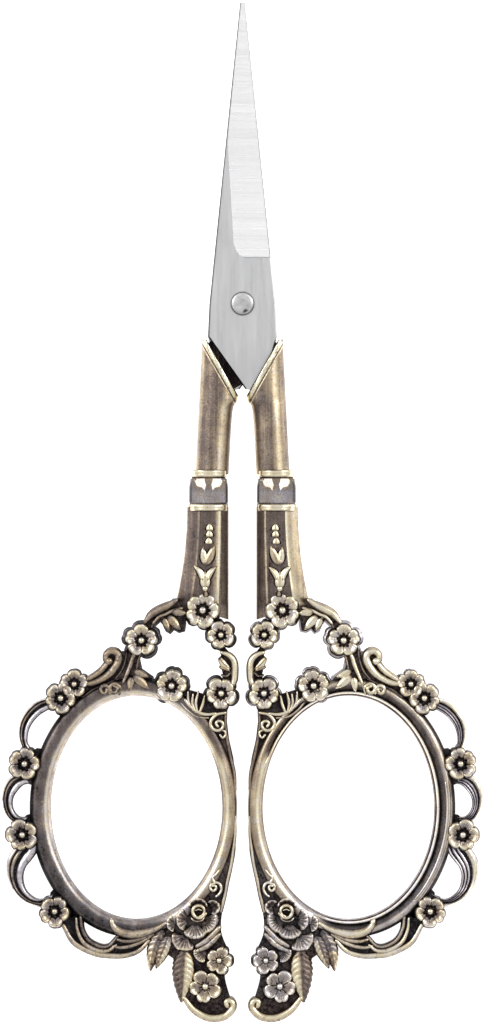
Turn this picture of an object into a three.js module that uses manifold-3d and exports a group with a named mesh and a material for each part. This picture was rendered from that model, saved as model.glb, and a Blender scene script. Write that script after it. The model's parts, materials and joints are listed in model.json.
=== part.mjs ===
// Embroidery scissors: two steel blades on one rivet, each blade set in a cast openwork handle.
// Millimetres, +Z up. The scissors lie flat and closed, with the points toward +Y.
import * as THREE from 'three';
import { mergeVertices } from 'three/addons/utils/BufferGeometryUtils.js';
import Module from 'manifold-3d';

const wasm = await Module();
wasm.setup();

// Blades
const BLADE_REACH = 37.8;
const BLADE_WIDTH = 8.3;
const BLADE_THICKNESS = 1.3;
const TIP_WIDTH = 0.6;
const EDGE_LAND = 0.3;
const BEVEL_WIDTH = 4.5;
const BEVEL_TAPER_DEGREES = 3.4;
const HEEL_REACH = 5.7;
const HEEL_RADIUS = 1.6;
const BLADE_GAP = 0.3;
const SHOULDER_DROP = 4.1;
const SHOULDER_FLARE = 0.2;
const SHOULDER_RELIEF = 0.6;
const VEE_DEPTH = 6.6;
const VEE_OVERLAP = 0.35;
const TANG_WIDTH = 1.8;
const TANG_LENGTH = 12;
const TANG_OFFSET = 0.4;
const TANG_CLEARANCE = 0.3;

// Rivet
const PIN_DIAMETER = 2;
const PIN_CLEARANCE = 0.05;
const RIVET_HEAD_DIAMETER = 3;
const RIVET_HEAD_HEIGHT = 0.5;
const RIVET_HEAD_CLEARANCE = 0.05;

// Shank of the handle
const CASTING_DEPTH = 5.4;
const SHOULDER_CLEARANCE = 0.4;
const SHOULDER_WALL = 0.3;
const SOCKET_DEPTH = 7.5;
const SOCKET_RIM_WIDTH = 0.6;
const SOCKET_RIM_RISE = 0.2;
const NECK_DROP = 1.8;
const SHANK_STANDOFF = 0.5;
const SHANK_INSET = 1.75;
const SHANK_EMBED = 0.5;
const UPPER_SHANK_LENGTH = 16.8;
const UPPER_SHANK_WIDTH = 4.15;
const UPPER_SHANK_DEPTH = 4.2;
const COLLAR_HEIGHT = 5.1;
const COLLAR_WIDTH = 5;
const COLLAR_RIM_HEIGHT = 0.85;
const COLLAR_WAIST_INSET = 0.15;
const LOWER_SHANK_LENGTH = 13.4;
const LOWER_SHANK_WIDTH = 5.2;
const LOWER_SHANK_DEPTH = 4.6;
const FOOT_WIDTH = 7.2;

// Finger loop
const LOOP_DROP = 23.8;
const LOOP_WIDTH = 21.5;
const LOOP_HEIGHT = 28;
const LOOP_STANDOFF = 0.7;
const BAND_INNER_WIDTH = 1.85;
const BAND_OUTER_WIDTH = 2.65;
const BAND_END_WIDTH = 2.3;
const BAND_DEPTH = 3.8;
const BAND_CHAMFER = 0.6;

// Ornament: its places, leaf widths and curls are multiples of the ornament unit
const ORNAMENT_UNIT = 1;
const BLOSSOM_DIAMETER = 4.3;
const SMALL_BLOSSOM_DIAMETER = 3.7;
const BLOSSOM_DEPTH = 5;
const PETALS = 5;
const PETAL_BEVEL = 0.35;
const EYE_DIAMETER = 2;
const EYE_DEPTH = 0.5;
const STAMEN_DIAMETER = 1;
const ROSE_DIAMETER = 6.6;
const ROSE_BEVEL = 0.5;
const BUD_DIAMETER = 2.4;
const STRAP_DEPTH = 3;
const STRAP_CHAMFER = 0.3;
const SCROLL_WIDTH = 1.05;
const VINE_WIDTH = 1.2;
const BRACE_WIDTH = 2;
const TENDRIL_WIDTH = 0.8;
const CURL_WIDTH = 0.6;
const SCROLL_DEPTH = 3.4;
const LEAF_DEPTH = 3.4;
const LEAF_CHAMFER = 0.2;
const WEB_DEPTH = 2.4;
const HUSK_RISE = 0.3;
const BEAD_DIAMETER = 0.75;

// Derived stations, measured from the pivot
const shoulderY = -SHOULDER_DROP;
const socketY = shoulderY - SOCKET_DEPTH;
const collarTop = shoulderY - UPPER_SHANK_LENGTH;
const collarFoot = collarTop - COLLAR_HEIGHT;
const footY = collarFoot - LOWER_SHANK_LENGTH;
const shoulderX = BLADE_WIDTH / 2 + SHOULDER_FLARE;
const veeTop = new THREE.Vector2(shoulderX + SHOULDER_CLEARANCE, shoulderY);
const veeFoot = new THREE.Vector2(SHANK_STANDOFF, socketY);
const shankOuter = SHANK_INSET + UPPER_SHANK_WIDTH;
const loopX = LOOP_STANDOFF + BAND_INNER_WIDTH + LOOP_WIDTH / 2;
const loopY = footY - LOOP_DROP;
const bandX = loopX + (BAND_OUTER_WIDTH - BAND_INNER_WIDTH) / 2;
const bandRadiusX = (LOOP_WIDTH + BAND_INNER_WIDTH + BAND_OUTER_WIDTH) / 2;
const bandRadiusY = LOOP_HEIGHT / 2 + BAND_END_WIDTH;

// Materials
const bladeSteel = { color: 0xc8c8c8, roughness: 0.34, metalness: 1 };
const rivetSteel = { color: 0xd6d6d4, roughness: 0.3, metalness: 1 };
const antiqueBrass = { color: 0xa8957a, roughness: 0.42, metalness: 1 };

// A closed solid from a geometry's merged corners.
function solid(geometry) {
  const bare = geometry.clone();
  bare.deleteAttribute('normal');
  bare.deleteAttribute('uv');
  const welded = mergeVertices(bare, 1e-4);
  const corners = welded.index.array;
  const kept = [];
  for (let i = 0; i < corners.length; i += 3) {
    const [a, b, c] = [corners[i], corners[i + 1], corners[i + 2]];
    if (a !== b && b !== c && c !== a) kept.push(a, b, c);
  }
  return new wasm.Manifold(new wasm.Mesh({
    numProp: 3,
    vertProperties: new Float32Array(welded.attributes.position.array),
    triVerts: new Uint32Array(kept),
  }));
}

function unite(solids) {
  return wasm.Manifold.union(solids);
}

function mesh(name, body, look) {
  const { vertProperties, triVerts } = body.getMesh();
  const geometry = new THREE.BufferGeometry();
  geometry.setAttribute('position', new THREE.BufferAttribute(vertProperties, 3));
  geometry.setIndex(new THREE.BufferAttribute(triVerts, 1));
  geometry.computeVertexNormals();
  const result = new THREE.Mesh(geometry, new THREE.MeshStandardMaterial(look));
  result.name = name;
  return result;
}

const at = (x, y) => new THREE.Vector2(x, y);

// A point in the ornament, so many units away from another.
const by = (point, x, y) => at(point.x + x * ORNAMENT_UNIT, point.y + y * ORNAMENT_UNIT);

// A point by the finger loop: an angle around its band, and the units out from the band's edge.
function onBand(degrees, standoff) {
  const angle = THREE.MathUtils.degToRad(degrees);
  const edge = at(bandRadiusX * Math.cos(angle), bandRadiusY * Math.sin(angle));
  const outward = at(Math.cos(angle) / bandRadiusX, Math.sin(angle) / bandRadiusY).normalize();
  return edge.addScaledVector(outward, standoff * ORNAMENT_UNIT).add(at(bandX, loopY));
}

function byBand(pairs) {
  return pairs.map(([degrees, standoff]) => onBand(degrees, standoff));
}

// A flat plate centred on the mid-plane, with chamfered edges inside its outline.
function slab(shape, depth, bevel, curveSegments = 4) {
  const geometry = new THREE.ExtrudeGeometry(shape, {
    depth: depth - 2 * bevel,
    curveSegments,
    bevelEnabled: bevel > 0,
    bevelThickness: bevel,
    bevelSize: bevel,
    bevelOffset: -bevel,
    bevelSegments: 1,
  });
  return geometry.translate(0, 0, bevel - depth / 2);
}

// A rounded bar that follows a smooth line through flat points.
function strand(points, width, depth, steps = 3 * (points.length - 1)) {
  const line = new THREE.CatmullRomCurve3(points.map((point) => new THREE.Vector3(point.x, point.y, 0)));
  const section = new THREE.Shape();
  section.absellipse(0, 0, depth / 2, width / 2, 0, 2 * Math.PI);
  return solid(new THREE.ExtrudeGeometry(section, { steps, curveSegments: 3, extrudePath: line }));
}

// An upright bar whose rounded section changes from station to station, from the top down.
function column(stations, sides, squareness) {
  const rows = stations.length - 1;
  const geometry = new THREE.CylinderGeometry(1, 1, 1, sides, rows, false, Math.PI / sides);
  const reach = Math.cos(Math.PI / sides) ** (2 / squareness);
  const square = (value) => Math.sign(value) * Math.abs(value) ** (2 / squareness) / reach;
  const position = geometry.attributes.position;
  for (let i = 0; i < position.count; i += 1) {
    const station = stations[Math.round((0.5 - position.getY(i)) * rows)];
    const middle = (station.inner + station.outer) / 2;
    const x = middle + square(position.getX(i)) * (station.outer - station.inner) / 2;
    position.setXYZ(i, x, station.y, square(position.getZ(i)) * station.depth / 2);
  }
  return solid(geometry);
}

function plate(points, depth, bevel) {
  return solid(slab(new THREE.Shape(points), depth, bevel));
}

function disc(centre, diameter, depth, sides) {
  const geometry = new THREE.CylinderGeometry(diameter / 2, diameter / 2, depth, sides);
  return solid(geometry.rotateX(Math.PI / 2).translate(centre.x, centre.y, 0));
}

// A round outline of equal petals, each an arc that meets its neighbours in a notch.
function petalOutline(diameter, count) {
  const reach = 0.22 * diameter;
  const radius = diameter / 2 - reach;
  const half = Math.PI / count;
  const notch = reach * Math.cos(half) + Math.sqrt(radius ** 2 - (reach * Math.sin(half)) ** 2);
  const sweep = Math.atan2(notch * Math.sin(half), notch * Math.cos(half) - reach);
  const points = [];
  for (let i = 0; i < 4 * count; i += 1) {
    const turn = 2 * half * Math.floor(i / 4) + Math.PI / 2;
    const angle = turn + sweep * ((i % 4) / 2 - 1);
    const middle = at(reach * Math.cos(turn), reach * Math.sin(turn));
    points.push(middle.add(at(radius * Math.cos(angle), radius * Math.sin(angle))));
  }
  return new THREE.Shape(points);
}

// An open blossom, with a sunk eye and a pointed stamen on both faces.
function blossom(centre, diameter, turnDegrees) {
  const turn = THREE.MathUtils.degToRad(turnDegrees);
  const petals = slab(petalOutline(diameter, PETALS), BLOSSOM_DEPTH, PETAL_BEVEL);
  let body = solid(petals.rotateZ(turn).translate(centre.x, centre.y, 0));
  const stamens = [];
  for (const face of [-1, 1]) {
    const eye = new THREE.CylinderGeometry(EYE_DIAMETER / 2, EYE_DIAMETER / 2, 2 * EYE_DEPTH, PETALS);
    eye.rotateX(face * Math.PI / 2).rotateZ(turn).translate(centre.x, centre.y, face * BLOSSOM_DEPTH / 2);
    body = body.subtract(solid(eye));
    const stamen = new THREE.ConeGeometry(STAMEN_DIAMETER / 2, 2 * EYE_DEPTH, PETALS);
    stamen.rotateX(face * Math.PI / 2).translate(centre.x, centre.y, face * (BLOSSOM_DEPTH / 2 - EYE_DEPTH));
    stamens.push(solid(stamen));
  }
  return unite([body, ...stamens]);
}

// A pointed leaf from its stalk to its tip, fullest before the middle.
function leaf(stalk, tip, width) {
  const along = tip.clone().sub(stalk);
  const side = at(-along.y, along.x).setLength(width * ORNAMENT_UNIT);
  const belly = stalk.clone().addScaledVector(along, 0.4);
  const shape = new THREE.Shape();
  shape.moveTo(stalk.x, stalk.y);
  shape.quadraticCurveTo(belly.x - side.x, belly.y - side.y, tip.x, tip.y);
  shape.quadraticCurveTo(belly.x + side.x, belly.y + side.y, stalk.x, stalk.y);
  return solid(slab(shape, LEAF_DEPTH, LEAF_CHAMFER, 4));
}

// A curl that winds inward about its eye from a starting radius and angle.
function curl(eye, radius, startDegrees, sweepDegrees) {
  const points = [];
  for (let i = 0; i <= 6; i += 1) {
    const angle = THREE.MathUtils.degToRad(startDegrees + sweepDegrees * i / 6);
    const reach = radius * (1 - 0.09 * i);
    points.push(by(eye, reach * Math.cos(angle), reach * Math.sin(angle)));
  }
  return points;
}

// The blade's outline, with its free vee edge and the tang that the handle holds.
function bladeOutline() {
  const veeTip = at(VEE_OVERLAP, shoulderY - VEE_DEPTH);
  const neck = (SHANK_INSET + shankOuter) / 2 - TANG_OFFSET;
  const tangFoot = veeTip.y - TANG_LENGTH;
  return new THREE.Shape([
    at(-TIP_WIDTH / 2, BLADE_REACH),
    at(-BLADE_WIDTH / 2, 0),
    at(-shoulderX, shoulderY),
    veeTip,
    at(neck - TANG_WIDTH / 2, veeTip.y - TANG_CLEARANCE),
    at(neck - TANG_WIDTH / 2, tangFoot),
    at(neck + TANG_WIDTH / 2, tangFoot),
    at(neck + TANG_WIDTH / 2, veeTip.y),
    at(shoulderX - SHOULDER_RELIEF, shoulderY - VEE_DEPTH / 3),
    at(shoulderX, shoulderY),
    at(BLADE_WIDTH / 2, 0),
    at(TIP_WIDTH / 2, BLADE_REACH),
  ]);
}

// The tilted block that the ground face leaves behind, from the heel to past the point.
function groundFace() {
  const length = 1.5 * BLADE_REACH;
  const shape = new THREE.Shape();
  shape.moveTo(2 * BLADE_WIDTH, 0);
  shape.lineTo(2 * BLADE_WIDTH, length);
  shape.lineTo(0, length);
  shape.lineTo(0, HEEL_RADIUS);
  shape.absarc(HEEL_RADIUS, HEEL_RADIUS, HEEL_RADIUS, Math.PI, 1.5 * Math.PI);
  const options = { depth: BLADE_WIDTH, bevelEnabled: false, curveSegments: 6 };
  const block = new THREE.ExtrudeGeometry(shape, options);
  block.rotateY(Math.atan2(BLADE_THICKNESS - EDGE_LAND, BEVEL_WIDTH));
  block.rotateZ(THREE.MathUtils.degToRad(BEVEL_TAPER_DEGREES));
  const edgeX = BLADE_WIDTH / 2 - (BLADE_WIDTH - TIP_WIDTH) / 2 * HEEL_REACH / BLADE_REACH;
  return block.translate(edgeX - BEVEL_WIDTH, HEEL_REACH, BLADE_GAP / 2 + BLADE_THICKNESS);
}

function makeBlade() {
  const blank = new THREE.ExtrudeGeometry(bladeOutline(), { depth: BLADE_THICKNESS, bevelEnabled: false });
  const bore = disc(at(0, 0), PIN_DIAMETER + 2 * PIN_CLEARANCE, 4 * BLADE_THICKNESS, 32);
  return solid(blank.translate(0, 0, BLADE_GAP / 2)).subtract(solid(groundFace())).subtract(bore);
}

// The space that the blade and its tang take up inside the casting.
function makePocket() {
  const room = new THREE.ExtrudeGeometry(bladeOutline(), {
    depth: BLADE_THICKNESS,
    bevelThickness: TANG_CLEARANCE,
    bevelSize: 0,
    bevelOffset: TANG_CLEARANCE,
    bevelSegments: 1,
  });
  return solid(room.translate(0, 0, BLADE_GAP / 2));
}

function makeRivet() {
  const seat = BLADE_GAP / 2 + BLADE_THICKNESS + RIVET_HEAD_CLEARANCE;
  const radius = RIVET_HEAD_DIAMETER / 2;
  const profile = [];
  for (let i = 0; i <= 4; i += 1) {
    const angle = Math.PI / 2 * i / 4;
    profile.push(at(radius * Math.sin(angle), seat + RIVET_HEAD_HEIGHT * (0.4 + 0.6 * Math.cos(angle))));
  }
  profile.push(at(radius, seat), at(PIN_DIAMETER / 2, seat));
  const backHead = profile.map((point) => at(point.x, -point.y));
  return solid(new THREE.LatheGeometry([...backHead, ...profile.reverse()], 32).rotateX(Math.PI / 2));
}

// The round upper shank, from the shoulder to the collar.
function upperShank(rise) {
  const wall = veeTop.x + SHOULDER_WALL;
  const neckY = socketY - NECK_DROP;
  const neck = SHANK_STANDOFF + 0.6 * (SHANK_INSET - SHANK_STANDOFF);
  const outerAt = (y) => THREE.MathUtils.mapLinear(y, shoulderY, collarTop, wall, shankOuter);
  const rows = [[shoulderY, SHANK_STANDOFF], [socketY, SHANK_STANDOFF], [neckY, neck]];
  const stations = [...rows, [collarTop - SHANK_EMBED, SHANK_INSET]].map(([y, inner]) => ({
    y,
    inner,
    outer: outerAt(y),
    depth: UPPER_SHANK_DEPTH + 2 * rise,
  }));
  return column(stations, 16, 2.8);
}

// The vee mouth of the socket: what is cut away above it, and the raised rim along it.
function socket() {
  const along = veeFoot.clone().sub(veeTop).normalize();
  const inward = at(-along.y, along.x);
  const top = veeTop.clone().addScaledVector(along, -SOCKET_DEPTH);
  const foot = veeFoot.clone();
  const mouth = [foot, top, at(top.x, BLADE_WIDTH), at(-BLADE_WIDTH, BLADE_WIDTH), at(-BLADE_WIDTH, foot.y)];
  const strip = [
    top.clone().addScaledVector(inward, SOCKET_RIM_WIDTH),
    top,
    foot,
    foot.clone().addScaledVector(inward, SOCKET_RIM_WIDTH),
  ];
  const rim = upperShank(SOCKET_RIM_RISE).intersect(plate(strip, 2 * CASTING_DEPTH, 0));
  return { mouth: plate(mouth, 2 * CASTING_DEPTH, 0), rim };
}

function collar() {
  const edge = COLLAR_WAIST_INSET;
  const rows = [
    [collarTop, 0],
    [collarTop - COLLAR_RIM_HEIGHT, 0],
    [collarTop - COLLAR_RIM_HEIGHT - edge, COLLAR_WAIST_INSET],
    [collarFoot + COLLAR_RIM_HEIGHT + edge, COLLAR_WAIST_INSET],
    [collarFoot + COLLAR_RIM_HEIGHT, 0],
    [collarFoot, 0],
  ];
  const stations = rows.map(([y, inset]) => ({
    y,
    inner: SHANK_INSET + inset,
    outer: SHANK_INSET + COLLAR_WIDTH - inset,
    depth: CASTING_DEPTH - 2 * inset,
  }));
  return column(stations, 8, 2.8);
}

// The faceted lower shank, which flares toward its foot on the outer side.
function lowerShank() {
  const stations = [];
  for (let i = 0; i <= 5; i += 1) {
    const share = i / 5;
    const width = LOWER_SHANK_WIDTH + (FOOT_WIDTH - LOWER_SHANK_WIDTH) * share ** 2;
    stations.push({
      y: collarFoot + SHANK_EMBED - (LOWER_SHANK_LENGTH + SHANK_EMBED) * share,
      inner: SHANK_INSET,
      outer: SHANK_INSET + width,
      depth: LOWER_SHANK_DEPTH,
    });
  }
  return column(stations, 8, 2.8);
}

// The husk drop on both faces of the lower shank: beads, a bud, a bell and a last bead.
function huskDrop() {
  const depth = LOWER_SHANK_DEPTH + 2 * HUSK_RISE;
  const head = at(SHANK_INSET + LOWER_SHANK_WIDTH / 2, collarFoot);
  const spot = (drop) => by(head, 0.05 * drop, -drop);
  const beads = [2, 2.8, 3.6, 9.7].map((drop) => disc(spot(drop), BEAD_DIAMETER, depth, 8));
  const curveTo = (shape, side, end) => shape.quadraticCurveTo(side.x, side.y, end.x, end.y);
  const [top, foot] = [spot(4.2), spot(6.5)];
  const bud = new THREE.Shape([top]);
  curveTo(bud, by(top, -1.3, -2), foot);
  curveTo(bud, by(top, 1.3, -2), top);
  const [mouth, stalk] = [spot(6.8), spot(9.6)];
  const bell = new THREE.Shape([by(mouth, 0, -0.5), by(mouth, -1.35, 0)]);
  curveTo(bell, by(mouth, -0.9, -2.2), by(stalk, -0.3, 0));
  curveTo(bell, by(stalk, 0, 0), by(stalk, 0.3, 0));
  curveTo(bell, by(mouth, 0.9, -2.2), by(mouth, 1.35, 0));
  return [...beads, solid(slab(bud, depth, 0)), solid(slab(bell, depth, 0))];
}

// The oval band of the finger loop, with broad chamfers on both sides.
function band() {
  const shape = new THREE.Shape();
  shape.absellipse(bandX, loopY, bandRadiusX, bandRadiusY, 0, 2 * Math.PI);
  const hole = new THREE.Path();
  hole.absellipse(loopX, loopY, LOOP_WIDTH / 2, LOOP_HEIGHT / 2, 0, 2 * Math.PI, true);
  shape.holes.push(hole);
  return solid(slab(shape, BAND_DEPTH, BAND_CHAMFER, 24));
}

// The openwork between the shank's foot and the loop: blossoms, a vine, scrolls and webs.
function openwork() {
  const foot = at(SHANK_INSET + FOOT_WIDTH, footY);
  const heel = at(SHANK_INSET, footY);
  const first = by(heel, 3.2, 0.9);
  const second = by(heel, 0.97, -2.2);
  const third = onBand(93.1, 4.7);
  const fourth = onBand(111.5, -0.1);
  const fifth = onBand(131.6, 3.2);
  const vine = [by(foot, -1.4, 2), by(foot, 0.5, 1.4), by(third, -1, 3), third];
  const inner = [second, ...byBand([[127, 6.9], [129.8, 6.1], [131.6, 4.9]]), fifth];
  const brace = [first, second, at(second.x, (second.y + fifth.y) / 2), fifth];
  const stem = [third, ...byBand([[88.3, 1.4], [84.3, -0.8]])];
  const volute = byBand([[58, 0.4], [66.9, 1], [72.9, 0.35], [80.8, 0.8], [84, 2.1], [83.5, 3.3], [81, 3.6],
    [78.8, 3.2], [78.2, 2.6]]);
  const voluteBack = byBand([[77.5, 2.7], [73.4, 1.9], [66.5, 1.3]]);
  const webs = [
    byBand([[50, -1], [54, 1.4], [62, 1.6], [73, 1.9], [78, 2.8], [81, 3.5], [84, 2.6], [85, -1]]),
    byBand([[104, -1], [101, 0.6], [95.5, 1.2], [92.5, 3.4], [86, 3.2], [83, 0.6], [74, -1]]),
    byBand([[172, -1], [172, 0.1], [158.5, 0.5], [150, 0.85], [141, 1.9], [137, 3], [131.6, 3.2], [119, 1.4],
      [113, -1], [140, -1]]),
    inner,
  ];
  const knee = onBand(90.5, 1);
  return [
    blossom(first, BLOSSOM_DIAMETER, 20),
    blossom(second, SMALL_BLOSSOM_DIAMETER, 50),
    blossom(third, BLOSSOM_DIAMETER, 0),
    blossom(fourth, BLOSSOM_DIAMETER, 10),
    blossom(fifth, BLOSSOM_DIAMETER, 40),
    strand(vine, VINE_WIDTH, SCROLL_DEPTH),
    strand(inner, SCROLL_WIDTH, SCROLL_DEPTH, 9),
    strand(brace, BRACE_WIDTH, WEB_DEPTH),
    strand(stem, SCROLL_WIDTH, SCROLL_DEPTH),
    strand(volute, SCROLL_WIDTH, SCROLL_DEPTH, 18),
    strand(voluteBack, SCROLL_WIDTH, SCROLL_DEPTH),
    strand([fourth, ...byBand([[119, 0.2], [127, 1]]), fifth], TENDRIL_WIDTH, SCROLL_DEPTH),
    strand(curl(onBand(139, 0.4), 0.9, 60, -300), CURL_WIDTH, SCROLL_DEPTH, 8),
    leaf(by(foot, -1.9, 1.2), by(foot, -0.4, -1.4), 1.6),
    leaf(by(foot, -0.9, 1.6), by(foot, 0.6, -1.6), 1.7),
    leaf(by(foot, -0.2, 1.4), by(foot, 1.7, -0.4), 1.2),
    ...byBand([[97, 1.1], [99, -0.2], [86.5, -0.4]]).map((tip) => leaf(knee, tip, 1.1)),
    ...webs.map((outline) => plate(outline, WEB_DEPTH, 0)),
  ];
}

// A bowed strap by the band, out to its rim, with an opening through it.
function bow(rim, opening) {
  const edge = byBand(rim);
  const window = byBand(opening).reverse();
  const web = new THREE.Shape();
  const start = onBand(rim[0][0], -1);
  web.moveTo(start.x, start.y);
  web.lineTo(edge[0].x, edge[0].y);
  web.splineThru(edge.slice(1));
  for (const degrees of [rim.at(-1)[0], (rim[0][0] + rim.at(-1)[0]) / 2]) {
    const foot = onBand(degrees, -1);
    web.lineTo(foot.x, foot.y);
  }
  const hole = new THREE.Path();
  hole.moveTo(window[0].x, window[0].y);
  hole.splineThru(window.slice(1));
  web.holes.push(hole);
  return solid(slab(web, STRAP_DEPTH, STRAP_CHAMFER, 3));
}

// The outer side of the loop: five blossoms, with a strap bowed out between each pair.
function straps() {
  return [
    blossom(onBand(60.3, 1.65), SMALL_BLOSSOM_DIAMETER, 0),
    blossom(onBand(51.4, 1.4), BLOSSOM_DIAMETER, 25),
    bow([[50, 2.2], [43, 3.55], [35, 3.9], [28, 3.2], [22, 1.6]],
      [[46, 0.2], [44.5, 1.4], [39, 2.15], [33, 2.35], [27.5, 1.7], [26, 0.2]]),
    blossom(onBand(18.4, 1.35), BLOSSOM_DIAMETER, 15),
    bow([[15, 1.8], [10, 3.2], [3.5, 3.55], [-3, 3], [-8, 1.6]],
      [[10.5, 0.2], [9, 1.1], [4, 2.05], [-0.5, 2.05], [-3.8, 1.3], [-4, 0.2]]),
    blossom(onBand(-11.4, 1.2), BLOSSOM_DIAMETER, 55),
    bow([[-14, 1.8], [-20, 3.8], [-28, 4.5], [-36, 4], [-44, 2.4]],
      [[-22, 0.2], [-23.6, 1.5], [-28.6, 2.6], [-34, 2.9], [-39.5, 2.1], [-41, 0.2]]),
    blossom(onBand(-47.7, 1.45), BLOSSOM_DIAMETER, 30),
    bow([[-51, 1.2], [-58, 2.6], [-67, 3], [-79, 2.7], [-90, 2.1], [-97, 1.4], [-102, 0.4]],
      [[-63, 0.2], [-65.5, 1.05], [-70.5, 1.6], [-76, 1.5], [-79.5, 0.8], [-80.5, 0.2]]),
  ];
}

// The rose spray at the inner foot of the loop, over a web that ends in a scroll.
function roseSpray() {
  const rose = onBand(236.2, 1);
  const near = (x, y) => by(rose, x, y);
  const outer = slab(petalOutline(ROSE_DIAMETER, 6), 0.85 * CASTING_DEPTH, ROSE_BEVEL);
  const inner = slab(petalOutline(0.68 * ROSE_DIAMETER, 5), 0.93 * CASTING_DEPTH, 0.8 * ROSE_BEVEL);
  const budCentre = near(-0.28, 0.9);
  const bud = disc(budCentre, BUD_DIAMETER, CASTING_DEPTH, 12);
  const eyes = [-1, 1].map((face) => {
    const eye = new THREE.CylinderGeometry(BUD_DIAMETER / 4, BUD_DIAMETER / 4, 2 * EYE_DEPTH, 8);
    return solid(eye.rotateX(Math.PI / 2).translate(budCentre.x, budCentre.y, face * CASTING_DEPTH / 2));
  });
  const flower = unite([
    solid(outer.translate(rose.x, rose.y, 0)),
    solid(inner.translate(near(-0.2, 0.4).x, near(-0.2, 0.4).y, 0)),
    bud,
  ]).subtract(unite(eyes));
  const scroll = [near(1.5, -9.5), near(0.3, -11.1), near(-1.5, -12.1), near(-3.4, -12), near(-4.55, -11.1),
    near(-4.7, -10.3), near(-4.2, -9.9)];
  const start = onBand(188, -0.4);
  const web = new THREE.Shape();
  web.moveTo(start.x, start.y);
  web.splineThru([onBand(198, 0.5), onBand(212, 1.2), near(-3.3, 1.2), near(-3.2, -1.5), near(-4.4, -4.8),
    near(-3.6, -6.8), near(-4.5, -10.3)]);
  web.splineThru(scroll.slice(0, 5).reverse());
  const close = [near(3.6, -5.2), onBand(261, 1.7), onBand(261, -1), onBand(228, -1), onBand(208, -1)];
  close.forEach((point) => web.lineTo(point.x, point.y));
  return [
    flower,
    solid(slab(web, WEB_DEPTH, 0, 2)),
    blossom(near(-2.95, -4.8), SMALL_BLOSSOM_DIAMETER, 20),
    blossom(near(-1.2, -8.05), BLOSSOM_DIAMETER, 45),
    leaf(near(1.6, -3.2), near(1.7, -10.1), 3.4),
    leaf(near(3, -1.6), near(5.8, -6.3), 3.2),
    leaf(near(0.6, -3.6), near(-1.2, -5.4), 1.4),
    strand(scroll, SCROLL_WIDTH, SCROLL_DEPTH, 12),
    strand(curl(onBand(214.5, -0.6), 0.8, 60, 300), CURL_WIDTH, SCROLL_DEPTH, 8),
  ];
}

function makeHandle() {
  const { mouth, rim } = socket();
  const shank = upperShank(0).subtract(mouth);
  const casting = unite([
    shank, rim, collar(), lowerShank(), ...huskDrop(), band(), ...openwork(), ...straps(), ...roseSpray(),
  ]);
  return casting.subtract(makePocket());
}

const bladeBody = makeBlade();
const handleBody = makeHandle();

// Each half is a blade in its handle, and the back half is the front half turned over.
const frontHalf = new THREE.Group();
frontHalf.name = 'front_half';
frontHalf.add(mesh('front_blade', bladeBody, bladeSteel), mesh('right_handle', handleBody, antiqueBrass));

const backHalf = new THREE.Group();
backHalf.name = 'back_half';
backHalf.add(mesh('back_blade', bladeBody, bladeSteel), mesh('left_handle', handleBody, antiqueBrass));
backHalf.rotation.y = Math.PI;

const scissors = new THREE.Group();
scissors.name = 'embroidery_scissors';
scissors.add(frontHalf, backHalf, mesh('pivot_rivet', makeRivet(), rivetSteel));

// The assembly stands on its own rest plane, centred over the origin.
const box = new THREE.Box3().setFromObject(scissors);
scissors.position.set(0, -(box.min.y + box.max.y) / 2, -box.min.z);
scissors.updateMatrixWorld(true);

export default scissors;
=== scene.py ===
"""Embroidery scissors with cast openwork handles: the looks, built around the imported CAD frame."""
import json
import math

import bmesh
import bpy
from bpy.props import FloatProperty, FloatVectorProperty, IntProperty, PointerProperty
from mathutils import Matrix, Vector


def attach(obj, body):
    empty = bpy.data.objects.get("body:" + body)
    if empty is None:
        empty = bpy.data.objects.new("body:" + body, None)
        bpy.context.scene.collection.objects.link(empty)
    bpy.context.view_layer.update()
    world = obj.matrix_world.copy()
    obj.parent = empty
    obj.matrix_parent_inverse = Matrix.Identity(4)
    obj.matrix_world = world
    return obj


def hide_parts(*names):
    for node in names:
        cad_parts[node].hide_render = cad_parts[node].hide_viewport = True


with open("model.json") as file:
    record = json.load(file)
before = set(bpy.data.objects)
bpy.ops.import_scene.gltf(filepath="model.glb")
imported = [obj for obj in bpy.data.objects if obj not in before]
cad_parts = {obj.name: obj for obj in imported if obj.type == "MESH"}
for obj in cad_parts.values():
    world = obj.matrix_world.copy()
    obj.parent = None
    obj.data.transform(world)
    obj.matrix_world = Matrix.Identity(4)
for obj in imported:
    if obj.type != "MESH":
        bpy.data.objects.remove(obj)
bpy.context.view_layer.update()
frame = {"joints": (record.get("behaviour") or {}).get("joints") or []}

bl_info = {
    "name": "Embroidery scissors",
    "version": (1, 0, 0),
    "blender": (4, 5, 0),
    "location": "3D View > Sidebar > Scissors",
    "description": "Builds embroidery scissors with cast openwork handles around their CAD frame",
    "category": "Add Mesh",
}

PIVOT = Vector(frame["joints"][0]["pos_m"])
TO_METRES = Matrix.Scale(0.001, 4)
FRONT_HALF = Matrix.Translation(PIVOT) @ TO_METRES
BACK_HALF = Matrix.Translation(PIVOT) @ Matrix.Rotation(math.pi, 4, "Y") @ TO_METRES
# The diameter, in millimetres, at which a blossom's heights are drawn
DRAWN_BLOSSOM = 3.95
# Relief tones of usual ornament, from its foot to its crest
RUBBED = (0.2, 1.0)
# Relief tone of clean steel
PLAIN_TONE = 0.5
# Colours of the patina, from the hollows to the crests
PATINA_COLOURS = ("Recess", "Bronze", "Brass", "Gold")
# Vertices nearer than this, in millimetres, are joined
MERGE = 1e-4


def length(name, description, millimetres):
    """A length that the user may change, kept in metres."""
    return FloatProperty(
        name=name, description=description, default=millimetres / 1000, min=0.0, precision=5, unit="LENGTH"
    )


def colour(name, description, value):
    """A colour that the user may change."""
    return FloatVectorProperty(
        name=name, description=description, default=value, size=4, min=0.0, max=1.0, subtype="COLOR"
    )


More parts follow.
